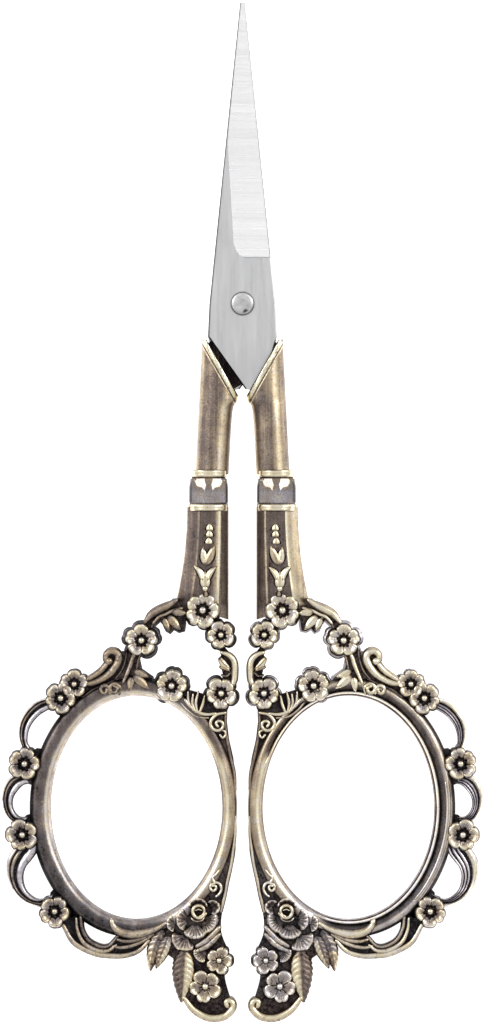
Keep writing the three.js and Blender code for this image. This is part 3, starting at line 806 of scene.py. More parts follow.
def cast_pair(name, bm, materials, sharp_degrees, bare):
    """The same casting on both handles, the left one turned over; a function gives the pewter at a place,
    which on the collar's lower half is a painted reflection.
    """
    layer = bm.verts.layers.float["pewter"]
    for vertex in bm.verts:
        vertex[layer] = bare(vertex.co)
    for side, body, matrix in (("right", "front_half", FRONT_HALF), ("left", "back_half", BACK_HALF)):
        piece = finish_mesh(f"{side}_{name}", bm, matrix, materials, sharp_degrees)
        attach(piece, body)
        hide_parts(f"{side}_handle")
    bm.free()


def blade_edges(plan, y):
    """Left and right edge of a blade at a height."""
    half = plan.blade_width / 2
    shoulder = half + 0.2
    vee = plan.blade_vee
    neck = (plan.shank_inset + plan.shank_outer) / 2 - 0.4
    tang = 0.9
    left = [(plan.blade_reach, -plan.tip_width / 2), (0, -half), (plan.shoulder, -shoulder), (vee, 0.35)]
    left += [(vee - 0.3, neck - tang), (plan.tang_end, neck - tang)]
    right = [(plan.blade_reach, plan.tip_width / 2), (0, half), (plan.shoulder, shoulder)]
    right += [(plan.shoulder - 2.2, shoulder - 0.6), (vee, neck + tang), (plan.tang_end, neck + tang)]
    result = []
    for edge in (left, right):
        for (y0, x0), (y1, x1) in zip(edge, edge[1:]):
            if y0 >= y >= y1:
                result.append(mix(x0, x1, (y0 - y) / (y0 - y1)))
                break
    return result


class SCISSORS_OT_blades(bpy.types.Operator):
    """Two steel blades, each with a ground face and small broken edges"""

    bl_idname = "scissors.make_blades"
    bl_label = "Blades"
    sharp_degrees = 6

    def execute(self, context):
        plan = plan_of(context)
        colours = context.scene.scissors_colours
        flat_steel = steel("flat_of_the_blades", colours.steel, (1500.0, 120.0, 1500.0), 0.05, 0.03)
        ground = steel("ground_face_of_the_blades", colours.ground_steel, (20.0, 3800.0, 20.0), 0.8, 0.3)
        bm = self.blade(plan)
        for side, body, matrix in (("front", "front_half", FRONT_HALF), ("back", "back_half", BACK_HALF)):
            piece = finish_mesh(f"{side}_blade_steel", bm, matrix, [flat_steel, ground], self.sharp_degrees)
            self.bore(piece, plan)
            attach(piece, body)
            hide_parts(f"{side}_blade")
        bm.free()
        return {"FINISHED"}

    def blade(self, plan):
        """A blade from its point to its tang; each row has its height and, off the bevel line, its bend."""
        foot = plan.blade_gap / 2
        top = foot + plan.blade_thickness
        heel, corner, rise = plan.heel_reach, plan.heel_width, plan.heel_height
        edge_height, least_height = 0.3, 0.2
        lean_degrees = 3.4
        slope = (plan.blade_thickness - edge_height) / plan.bevel_width
        lean = math.tan(math.radians(lean_degrees))
        start_x = blade_edges(plan, heel)[1] - plan.bevel_width

        def bevel_line(y):
            return start_x - lean * (y - heel)

        no_bevel = 99.0
        arc = []
        for i in range(9):
            angle = math.pi / 2 * i / 8
            y = heel + rise * (1 - math.cos(angle))
            arc.append((y, bevel_line(heel + rise) + corner * (1 - math.sin(angle))))
        heights = [plan.blade_reach * (1 - 0.04 * i) for i in range(21)]
        rows = [(y, None) for y in heights if y > heel + rise + 0.1] + arc[::-1]
        vee = plan.blade_vee
        heights = [heel - 0.02, 4.0, 2.0, 0.0, -2.0, plan.shoulder, plan.shoulder - 2.2]
        heights += [vee + 2.0, vee, vee - 0.3, plan.tang_end]
        rows += [(y, no_bevel) for y in heights]
        rings = []
        for y, bend in rows:
            left, right = blade_edges(plan, y)
            share = (plan.blade_reach - y) / (plan.blade_reach - plan.shoulder)
            small = min(mix(0.07, 0.19, min(1.0, share)), (right - left) * 0.2)
            line = bevel_line(y) if bend is None else bend
            lip = left + small + 0.05
            line = min(max(line, lip), right - 2 * small)
            ground = y >= heel - 0.01
            depth = slope * max(0.0, right - max(bevel_line(y), left - 9)) if ground else 0.0
            depth = min(depth, plan.blade_thickness - least_height)
            drop = 0.0
            if bend is not None and ground:
                ramp = ease(0.0, 0.06, y - heel)
                depth *= ramp
                drop = ramp * slope * (line - bevel_line(y))
            spine = slope * max(0.0, left - bevel_line(y)) if ground else 0.0
            spine = min(spine, depth)
            rings.append([
                (left + small, y, foot),
                (left, y, foot + small),
                (left, y, top - spine - small),
                (left + small, y, top - spine),
                (lip, y, top - spine),
                (line + 0.01, y, top - spine * (line <= lip)),
                (line + 0.03, y, top - drop - spine * (line <= lip)),
                (right - small, y, top - depth + slope * small * (depth > 0)),
                (right, y, top - depth - small * 0.5),
                (right, y, foot),
            ])
        # The left side wall and its small edge are painted dark, a painted shade line along the blade's left
        # edge.
        tones = [PLAIN_TONE, 0.02, 0.02, 0.1] + [PLAIN_TONE] * 6
        bm = bar(rings, [tones] * len(rings))
        for face in bm.faces:
            middle = face.calc_center_median()
            tilted = 0.1 < abs(face.normal.x) < 0.6 and face.normal.z > 0.7
            if tilted and middle.y > heel - 0.01 and middle.x > bevel_line(middle.y) - 0.2:
                face.material_index = 1
        self.shade(bm, plan)
        return bm

    def shade(self, bm, plan):
        """The ground face is a little darker to the point, and the flat near the socket is darkened with
        painted shade.
        """
        layer = relief_and_shading_of(bm)
        for vertex in bm.verts:
            near_socket = ease(-3.0, -10.0, vertex.co.y)
            vertex[layer] *= mix(1.0, 0.9, near_socket)
        ground = {vertex for face in bm.faces if face.material_index == 1 for vertex in face.verts}
        for vertex in ground:
            share = (vertex.co.y - plan.heel_reach) / (plan.blade_reach - plan.heel_reach)
            vertex[layer] *= mix(1.0, 0.74, share)

    def bore(self, piece, plan):
        """Bores the hole for the rivet's pin."""
        radius = plan.pin_diameter / 2 + 0.05
        cutter_bm = bmesh.new()
        bmesh.ops.create_cone(
            cutter_bm, cap_ends=True, segments=48, radius1=radius, radius2=radius, depth=8.0
        )
        cutter = finish_mesh("bore", cutter_bm, FRONT_HALF, [])
        cutter_bm.free()
        cut = piece.modifiers.new("bore", "BOOLEAN")
        cut.operation = "DIFFERENCE"
        cut.object = cutter
        bpy.context.view_layer.update()
        cut_piece = piece.evaluated_get(bpy.context.evaluated_depsgraph_get())
        mesh = bpy.data.meshes.new_from_object(cut_piece)
        piece.modifiers.clear()
        old = piece.data
        piece.data = mesh
        mesh.set_sharp_from_angle(angle=math.radians(self.sharp_degrees))
        relief = mesh.attributes["relief"].data
        for vertex in mesh.vertices:
            if (vertex.co - PIVOT).xy.length < 0.001 * plan.pin_diameter:
                relief[vertex.index].value = PLAIN_TONE
        mesh.name = old.name
        bpy.data.meshes.remove(old)
        bpy.data.objects.remove(cutter)


class SCISSORS_OT_rivet(bpy.types.Operator):
    """The rivet, spun with a low dome on both faces"""

    bl_idname = "scissors.make_rivet"
    bl_label = "Rivet"

    def execute(self, context):
        plan = plan_of(context)
        colours = context.scene.scissors_colours
        finish = steel("rivet_heads", colours.rivet_steel, (1100.0, 1300.0, 900.0), 0.7, 0.5)
        radius, pin = plan.rivet_diameter / 2, plan.pin_diameter / 2
        seat = plan.blade_gap / 2 + plan.blade_thickness + 0.05
        head = seat + plan.rivet_height
        bm = new_casting()
        outline = [(0.0, head), (0.3 * radius, head - 0.005), (0.6 * radius, head - 0.025)]
        outline += [(0.82 * radius, head - 0.06), (0.89 * radius, head - 0.1), (0.91 * radius, head - 0.3)]
        outline += [(radius, head - 0.32), (radius, seat)]
        outline += [(pin, seat), (pin, 0.0)]
        verts = [bm.verts.new((x, 0.0, z)) for x, z in outline]
        for a, b in zip(verts, verts[1:]):
            bm.edges.new((a, b))
        spin_round(bm, 64, MERGE)
        crest = [e for e in bm.edges if min(v.co.z for v in e.verts) > seat + 0.1]
        bmesh.ops.subdivide_edges(bm, edges=crest, cuts=1, use_grid_fill=True)
        layer = relief_and_shading_of(bm)
        for vertex in bm.verts:
            off = vertex.co.xy - Vector((0.36, -0.95))
            flaw = Vector((0.5 * off.x + 0.3 * off.y, off.y - 0.5 * off.x)).length
            dent = (1 - ease(0.1, 0.3, flaw)) * (vertex.co.z > seat + 0.1)
            vertex.co.z -= 0.04 * dent
            # Beyond nine tenths of the radius the head is painted dark, a painted contact shadow round its
            # rim; the dent is a real flaw, also darker.
            disc = vertex.co.xy.length < 0.9 * radius
            vertex[layer] = PLAIN_TONE * (1 - dent) if disc else 0.12
        mirror_down(bm)
        piece = finish_mesh("rivet_head", bm, FRONT_HALF, [finish], 50)
        bm.free()
        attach(piece, "front_half")
        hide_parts("pivot_rivet")
        return {"FINISHED"}


def oval_ring(y, inner, outer, depth, squareness):
    """A rounded section of a shank at a height."""
    count = 56
    middle, half = (inner + outer) / 2, (outer - inner) / 2
    power = 2 / squareness
    ring = []
    for i in range(count):
        angle = 2 * math.pi * (i + 0.5) / count
        c, s = math.cos(angle), math.sin(angle)
        x = middle + half * math.copysign(abs(c) ** power, c)
        ring.append((x, y, depth / 2 * math.copysign(abs(s) ** power, s)))
    return ring


def shank_bar(rings, tones):
    """A bar with one tone around each ring."""
    return bar(rings, [[tone] * len(ring) for ring, tone in zip(rings, tones)])


def cut_off(bm, point, normal):
    """Cuts a bar by a plane, takes off the side that the normal points to, and closes the cut."""
    made = bmesh.ops.bisect_plane(
        bm, geom=whole(bm), dist=1e-5, plane_co=point, plane_no=normal, clear_outer=True
    )["geom_cut"]
    edges = [item for item in made if isinstance(item, bmesh.types.BMEdge)]
    bmesh.ops.holes_fill(bm, edges=edges, sides=0)


class SCISSORS_OT_shanks(bpy.types.Operator):
    """Socket, round upper shank, collar and faceted lower shank of both handles"""

    bl_idname = "scissors.make_shanks"
    bl_label = "Shanks"

    def execute(self, context):
        plan = plan_of(context)
        casting = new_casting()
        self.upper_shank(casting, plan)
        self.collar(casting, plan)
        self.lower_shank(casting, plan)
        self.husk_drop(casting, plan)
        self.socket_shade_sheet(casting, plan)
        brushed = antique_brass("brushed_antique_brass", 0.55, (2600.0, 60.0, 2600.0), 0.12)
        polished = antique_brass("polished_antique_brass", 0.12, (900.0, 300.0, 900.0), 0.0, 0.22)
        waist = (plan.collar_top + plan.collar_foot) / 2

        # The collar's drum gets grey metal: on its lower half a painted reflection, on its upper half a
        # greyer brass that lets the softboxes' reflections read white.
        def bare(place):
            above = ease(waist - 0.1, waist + 0.3, place.y)
            lower_half = (1 - above) * ease(waist - 1.7, waist - 1.5, place.y)
            upper_half = above * (1 - ease(waist + 1.4, waist + 1.6, place.y))
            return 0.75 * lower_half + 0.42 * upper_half

        cast_pair("shank", casting, [brushed, polished], 35, bare)
        return {"FINISHED"}

    def upper_rings(self, plan, rise):
        wall = plan.vee_top.x + 0.3
        edge = plan.inner_edge
        neck = mix(edge, plan.shank_inset, 0.6)
        points = [(edge, plan.shoulder), (edge, plan.socket), (neck, plan.socket - 1.8)]
        points += [(plan.shank_inset, plan.collar_top - 0.5)]
        line = even_line(smooth_line(flat(points), 0.4), 44)
        rings = []
        for point in line:
            share = (plan.shoulder - point.y) / (plan.shoulder - plan.collar_top)
            outer = mix(wall, plan.shank_outer, share)
            rings.append(oval_ring(point.y, point.x, outer, plan.upper_shank_depth + 2 * rise, 2.5))
        return rings

    def painted_highlights(self, point, ring):
        """Tone around a shank: painted highlights along the right of both handles, so on either side of the
        two faces, and a narrow one along their left edge.
        """
        low, high = min(x for x, y, z in ring), max(x for x, y, z in ring)
        share = (point[0] - low) / (high - low)
        share = share if point[2] > 0 else 1 - share
        # crest is the broad painted highlight, edge the narrow painted highlight.
        crest = 0.35 * math.exp(-(((share - 0.74) / 0.14) ** 2))
        edge = 0.25 * math.exp(-((share / 0.09) ** 2))
        return 0.38 + crest + edge

    def upper_shank(self, casting, plan):
        """The round shank, and strips along the socket's mouth: near and far side, rise and tone."""
        along = (plan.vee_foot - plan.vee_top).normalized()
        inward = Vector((-along.y, along.x, 0.0))
        mouth = Vector((*plan.vee_foot, 0.0))
        brow = Vector((*(plan.vee_top + along * 0.45), 0.0))
        up = Vector((-along.x, -along.y, 0.0))
        rings = self.upper_rings(plan, 0.0)
        bm = new_casting()
        sweep(bm, rings, [self.painted_highlights(point, rings[-1]) for point in rings[-1]])
        cut_off(bm, mouth + inward * 0.3, -inward)
        add(casting, bm)
        strips = [(0.0, 0.14, 0.1, 0.02), (0.1, 0.64, 0.2, 1.0)]
        strips += [(0.6, 0.8, 0.02, 0.34), (0.8, 0.98, 0.06, 0.72)]
        for near, far, rise, tone in strips:
            rings = self.upper_rings(plan, rise)
            strip = shank_bar(rings, [tone] * len(rings))
            cut_off(strip, mouth + inward * near, -inward)
            cut_off(strip, mouth + inward * far, inward)
            cut_off(strip, brow, up)
            corners = [e for e in strip.edges if e.is_manifold and e.calc_face_angle() > 1.0]
            bmesh.ops.bevel(
                strip, geom=corners, offset=0.05 + 0.3 * rise, offset_type="OFFSET", segments=2, profile=0.5,
                affect="EDGES", material=-1,
            )
            face_out(strip)
            add(casting, strip)

    def facet(self, place, middle, height):
        """Lowers a point of the drum to the two shallow facets of each face, which mirror a softbox each."""
        x, y, z = place
        off = abs(x - middle)
        slopes = ((0.3, 0.34), (1.0, 0.42), (1.6, 0.7))
        for k, (start, slope) in enumerate(slopes):
            end = slopes[k + 1][0] if k + 1 < len(slopes) else off
            height -= slope * max(0.0, min(off, max(end, start)) - start)
        return x, y, math.copysign(min(abs(z), height), z)

    def collar(self, casting, plan):
        """A faceted drum between two rims; the rows of a rim are height, inset and tone."""
        top, foot = plan.collar_top, plan.collar_foot
        inner, outer = plan.shank_inset, plan.shank_inset + plan.collar_width
        middle = (inner + outer) / 2
        rim = [(0.06, 0.3, 0.06), (0.0, 0.1, 0.4), (-0.08, 0.02, 0.95), (-0.26, 0.0, 0.95)]
        rim += [(-0.42, 0.03, 0.8), (-0.58, 0.0, 1.0), (-0.74, 0.03, 1.0), (-0.82, 0.1, 0.5)]
        rim += [(-0.88, 0.2, 0.2), (-0.98, 0.25, 0.3)]

        def in_drum(y):
            return foot + 1.0 < y < top - 1.0

        rows = [(top + y, inset, inset + 0.17, tone) for y, inset, tone in rim]
        for i in range(13):
            share = i / 12
            y = mix(top - 1.06, foot + 1.06, share)
            bulge = math.sin(math.pi * min(share, 0.5)) - 0.4 * ease(0.86, 1.0, share)
            side = mix(0.16, 0.0, ease(0.0, 0.4, share))
            # The lower half of the drum is a little lighter, part of its painted reflection.
            rows.append((y, 0.3 - 0.2 * bulge, side, mix(0.54, 0.63, ease(0.45, 0.6, share))))
        rows += [(foot - y, inset, 0.05 + 0.2 * inset, tone) for y, inset, tone in reversed(rim)]
        rings = []
        for y, inset, side, tone in rows:
            squareness = 3.2 if in_drum(y) else 2.8
            ring = oval_ring(y, inner + side, outer - side, plan.casting_depth - 2 * inset, squareness)
            if in_drum(y):
                ring = [self.facet(place, middle, plan.casting_depth / 2 - inset) for place in ring]
            rings.append(ring)
        bm = shank_bar(rings, [tone for *rest, tone in rows])
        for face in bm.faces:
            face.material_index = int(in_drum(face.calc_center_median().y))
        # Both sides of the drum and of the rims are painted darker: painted shade along the collar's edges.
        layer = relief_and_shading_of(bm)
        for vertex in bm.verts:
            side = abs(vertex.co.x - middle) / (plan.collar_width / 2)
            if in_drum(vertex.co.y):
                vertex[layer] *= 1 - 0.8 * ease(0.8, 0.95, side)
            else:
                vertex[layer] *= 1 - 0.7 * ease(0.86, 0.98, side)
        add(casting, bm)

    def lower_shank(self, casting, plan):
        """Corners go round the section: share across, height, and the tones before, on and after each."""
        # The tones paint a highlight on the right-hand facet of both handles: after the third corner on the
        # front, and round the eighth corner on the back, the left handle's front.
        corners = [(0.0, 0.45, 0.3, 0.5, 0.34), (0.2, 1.0, 0.36, 0.66, 0.24), (0.72, 1.0, 0.28, 1.0, 0.78)]
        corners += [(1.0, 0.4, 0.58, 0.5, 0.3), (1.0, -0.4, 0.3, 0.5, 0.34), (0.72, -1.0, 0.32, 0.48, 0.24)]
        corners += [(0.38, -1.0, 0.26, 0.28, 0.34), (0.2, -1.0, 0.8, 1.0, 0.46), (0.0, -0.45, 0.3, 0.5, 0.3)]
        tones = []
        for *place, before, edge, after in corners:
            tones += [before, edge, edge, after]
        rings = []
        for i in range(29):
            share = i / 28
            y = plan.collar_foot + 0.5 - (plan.lower_shank_length + 0.8) * share
            width = plan.lower_shank_width + (plan.foot_width - plan.lower_shank_width) * share**2
            depth = plan.lower_shank_depth / 2 - 0.8 * ease(0.76, 0.9, share)
            spots = [Vector((plan.shank_inset + width * u, depth * h)) for u, h, *rest in corners]
            ring = []
            for last, here, following in zip(spots[-1:] + spots[:-1], spots, spots[1:] + spots[:1]):
                to_last = (last - here).normalized()
                to_next = (following - here).normalized()
                bow = (to_last + to_next) * 0.04
                ring += [here + to_last * 0.2, here + to_last * 0.08 + bow]
                ring += [here + to_next * 0.08 + bow, here + to_next * 0.2]
            rings.append([(spot.x, y, spot.y) for spot in ring])
        bm = new_casting()
        sweep(bm, rings, tones)
        low = Vector((plan.shank_inset, plan.foot - 0.25, 0.0))
        cut_off(bm, low, Vector((0.3, -0.95, 0.0)))
        add(casting, bm)

    def socket_shade_sheet(self, casting, plan):
        # A thin black sheet between the blades under the socket's mouth: painted shade for the gap that the
        # handle shades.
        along = (plan.vee_foot - plan.vee_top).normalized()
        inward = Vector((along.y, -along.x))
        start = plan.vee_top + along * 0.9
        end = plan.vee_foot - along * 1.1
        strip = [start, end, end + inward * 1.25, start + inward * 1.25]
        slab(casting, strip, 0.03, plan.blade_gap / 2 - 0.035, 0.02)

    def husk_drop(self, casting, plan):
        top = plan.lower_shank_depth / 2
        start = Vector((plan.shank_inset + 2.35, plan.collar_foot))

        def spot(x, y):
            return start + Vector((x, y))

        def raised(stalk, tip, width, rise, bright, bend=0.0, belly=0.72):
            form = {"bend": bend, "belly": belly}
            # Under each leaf a wider black leaf paints its shadow.
            leaf(casting, stalk, tip, width + 0.5, top + 0.05, fold=0.02, tones=(0.0, 0.02), **form)
            leaf(casting, stalk, tip, width, top + rise, fold=0.22, tones=(0.08, bright), rib=0.5, **form)

        for x, y in ((0.02, -2.47), (0.04, -3.26), (0.12, -4.17)):
            raised(spot(x, y), spot(x, y + 0.98), 1.0, 0.36, 0.9, belly=0.42)
        raised(spot(0.55, -6.75), spot(-0.62, -4.2), 1.1, 0.34, 0.7, bend=0.1)
        raised(spot(0.6, -6.65), spot(0.85, -4.5), 0.95, 0.36, 0.95, bend=-0.04)
        raised(spot(0.35, -8.7), spot(-0.95, -6.9), 0.8, 0.36, 0.85, bend=-0.24)
        raised(spot(0.85, -8.7), spot(2.0, -6.8), 0.8, 0.36, 0.92, bend=0.24)
        raised(spot(0.56, -9.65), spot(0.6, -7.55), 1.4, 0.37, 0.88, belly=0.7)
        beads(casting, spot(0.56, -9.72), 0.4, top + 0.37)
        raised(spot(0.45, -10.8), spot(0.5, -9.9), 0.5, 0.25, 0.6)


class SCISSORS_OT_loops(bpy.types.Operator):
    """The moulded bands of the finger loops, with their spandrels and small curls"""

    bl_idname = "scissors.make_loops"
    bl_label = "Finger loops"

    def execute(self, context):
        plan = plan_of(context)
        casting = new_casting()
        self.band(casting, plan)
        self.spandrels(casting, plan)

        def bare(place):
            return 0.4 + 0.25 * ease(-60, -74, place.y) - 0.35 * ease(8, 4, place.x)

        moulded = antique_brass("moulded_antique_brass", 0.5, (900.0, 260.0, 900.0), 0.08)
        cast_pair("loop", casting, [moulded], 50, bare)
        return {"FINISHED"}

    def across(self, section, share):
        """Height and tone of a section at a share of the band's width."""
        for (u0, h0, t0), (u1, h1, t1) in zip(section, section[1:]):
            if share <= u1 + 1e-4:
                part = min(1.0, max(0.0, (share - u0) / (u1 - u0)))
                return mix(h0, h1, part), mix(t0, t1, part)
        return section[-1][1:]

    def band(self, casting, plan):
        """A section is spun to a ring, whose points then go between the band's edge and the hole."""
        crest = plan.band_depth / 2
        section = [(0.0, 0.0, 0.1), (0.0, 0.5, 0.15), (0.035, 0.6, 0.25), (0.06, 0.66, 0.1)]
        section += [(0.09, 0.78, 0.3), (0.14, 0.88, 0.55), (0.22, 0.97, 0.7), (0.31, 1.0, 0.74)]
        section += [(0.4, 0.96, 0.52), (0.47, 0.9, 0.28), (0.56, 0.82, 0.2), (0.65, 0.74, 0.12)]
        section += [(0.69, 0.67, 0.02), (0.715, 0.67, 0.02), (0.735, 0.77, 0.55), (0.77, 0.86, 1.0)]
        section += [(0.83, 0.87, 1.0), (0.875, 0.78, 0.6), (0.9, 0.66, 0.02), (0.93, 0.64, 0.03)]
        section += [(0.955, 0.6, 0.4), (1.0, 0.4, 0.45), (1.0, 0.0, 0.3)]
        plain = [(0.0, 0.5, 0.1), (0.05, 0.66, 0.25), (0.1, 0.8, 0.9), (0.16, 0.88, 0.6), (0.3, 0.96, 0.54)]
        plain += [(0.45, 1.0, 0.64), (0.6, 0.98, 0.94), (0.7, 0.95, 1.0), (0.8, 0.88, 0.7), (0.9, 0.74, 0.45)]
        plain += [(0.96, 0.6, 0.1), (1.0, 0.4, 0.35)]
        # The far face, the front of the left handle, has its own section with painted light from the right:
        # its outer slope in painted shade, its inner slope lit.
        wear_and_shade = [(0.0, 0.5, 0.1), (0.035, 0.6, 0.2), (0.06, 0.66, 0.05), (0.14, 0.86, 0.1)]
        wear_and_shade += [(0.22, 0.94, 0.32), (0.31, 0.98, 0.2), (0.4, 1.0, 0.26), (0.56, 0.99, 0.32)]
        wear_and_shade += [(0.65, 0.97, 0.42), (0.715, 0.95, 0.7), (0.77, 0.92, 0.94), (0.83, 0.86, 0.88)]
        wear_and_shade += [(0.875, 0.8, 0.62), (0.93, 0.68, 0.58), (0.955, 0.62, 0.66), (1.0, 0.4, 0.45)]
        ring = both_faces(section)
        ring_radius = 2
        places = [(ring_radius + share, 0.0, height * crest) for share, height, tone in ring]
        bm = new_casting()
        draw_loop(bm, places, [tone for share, height, tone in ring])
        spin_round(bm, 224, 1e-5)
        layer = relief_and_shading_of(bm)
        for vertex in bm.verts:
            angle = math.atan2(vertex.co.y, vertex.co.x)
            turn = Vector((math.cos(angle), math.sin(angle)))
            share = vertex.co.xy.length - ring_radius
            outer = plan.band + plan.band_radius * turn
            inner = plan.hole + plan.hole_radius * turn
            vertex.co.xy = outer.lerp(inner, share)
            degrees = math.degrees(angle) % 360
            part = ease(146, 162, degrees) * (1 - ease(240, 262, degrees))
            if abs(vertex.co.z) > 0.3 * crest:
                face = math.copysign(crest, vertex.co.z)
                if face < 0:
                    height, tone = self.across(wear_and_shade, share)
                    vertex.co.z = height * face
                    # On that face the band is also darker towards the bottom of the loop.
                    vertex[layer] = tone * (1 - 0.4 * ease(-0.2, -0.8, turn.y))
                height, tone = self.across(plain, share)
                vertex.co.z = mix(vertex.co.z, height * face, part)
                vertex[layer] = mix(vertex[layer], tone, part)
        face_out(bm)
        add(casting, bm)
        for standoff, width, tone in ((-1.02, 0.42, 1.0), (-0.5, 0.36, 0.62)):
            line = plan.by_band([(12 - 6 * i, standoff) for i in range(11)])
            thread = new_casting()
            strand(thread, line, [0.2, width, width, width, 0.2], crest + 0.06, (0.0, tone), step=0.5)
            cut_off(thread, Vector((0, 0, 0)), Vector((0, 0, -1)))
            add(casting, thread)

    def spandrels(self, casting, plan):
        upper = [(172, -1), (172, 0.1), (158.5, 0.5), (150, 0.85), (141, 1.9), (137, 3), (131.6, 2.4)]
        upper += [(120, 0.8), (113, -1), (140, -1)]
        plate(casting, plan.by_band(upper), 1.15, 0.06)
        edge = plan.by_band([(176, -0.2), (166, 0.1), (158, 0.2), (150, 0.6), (144, 1.2), (139, 2.2)])
        ring = [(2.2, -51.3), (3.2, -51.5), (3.9, -52.2), (4.0, -52.9), (3.6, -53.4), (2.95, -53.5)]
        ring += [(2.45, -53.1), (2.5, -52.5), (3.0, -52.3), (3.35, -52.65), (3.1, -53.0)]
        tail = [(2.6, -53.5), (2.2, -53.6), (2.1, -54.1), (2.5, -54.45), (2.8, -54.1)]
        bough = [(3.4, -51.4), (4.6, -51.5), (5.7, -51.15), (6.6, -50.45), (7.2, -49.7)]
        twig = [(4.3, -51.95), (5.7, -51.8), (6.9, -51.0), (7.7, -50.1)]
        strands(casting, [
            (edge, [0.3, 0.45, 0.5, 0.4], 1.45, (0.1, 0.5)),
            (ring, [0.4, 0.5, 0.55, 0.5, 0.45, 0.4], 1.95),
            (tail, [0.3, 0.4, 0.35], 1.75),
            (bough, [0.4, 0.55, 0.55, 0.45], 2.0),
            (twig, [0.25, 0.35, 0.3], 1.9, (0.05, 0.75)),
        ])
        fronds = [
            [(5.4, -51.3), (5.0, -50.3), (4.75, -49.2)],
            [(5.65, -51.25), (5.85, -50.1), (5.55, -48.75)],
            [(5.9, -51.2), (6.3, -50.2), (6.2, -49.0)],
            [(6.15, -51.0), (6.75, -50.1), (6.85, -48.7)],
        ]
        strands(casting, [(frond, [0.3, 0.5, 0.46, 0.24], 2.0, (0.03, 0.85)) for frond in fronds])
        low = [(184, -0.2), (192, 0.05), (199, 0.25), (206, 0.6), (213, 1.0), (219, 1.6), (225, 2.3)]
        hook = [(2.9, -71.0), (3.27, -71.5), (3.79, -71.96), (3.5, -72.5), (2.92, -72.66), (2.63, -73.35)]
        hook += [(2.92, -74.0), (3.3, -74.3)]
        strands(casting, [
            (plan.by_band(low), [0.3, 0.45, 0.55, 0.55], 1.5, (0.2, 0.85)),
            (hook, [0.3, 0.45, 0.45, 0.4, 0.3], 2.1),
            (curl(Vector((3.6, -73.2)), 0.55, 100, -400), [0.4, 0.42, 0.36], 2.1),
        ])


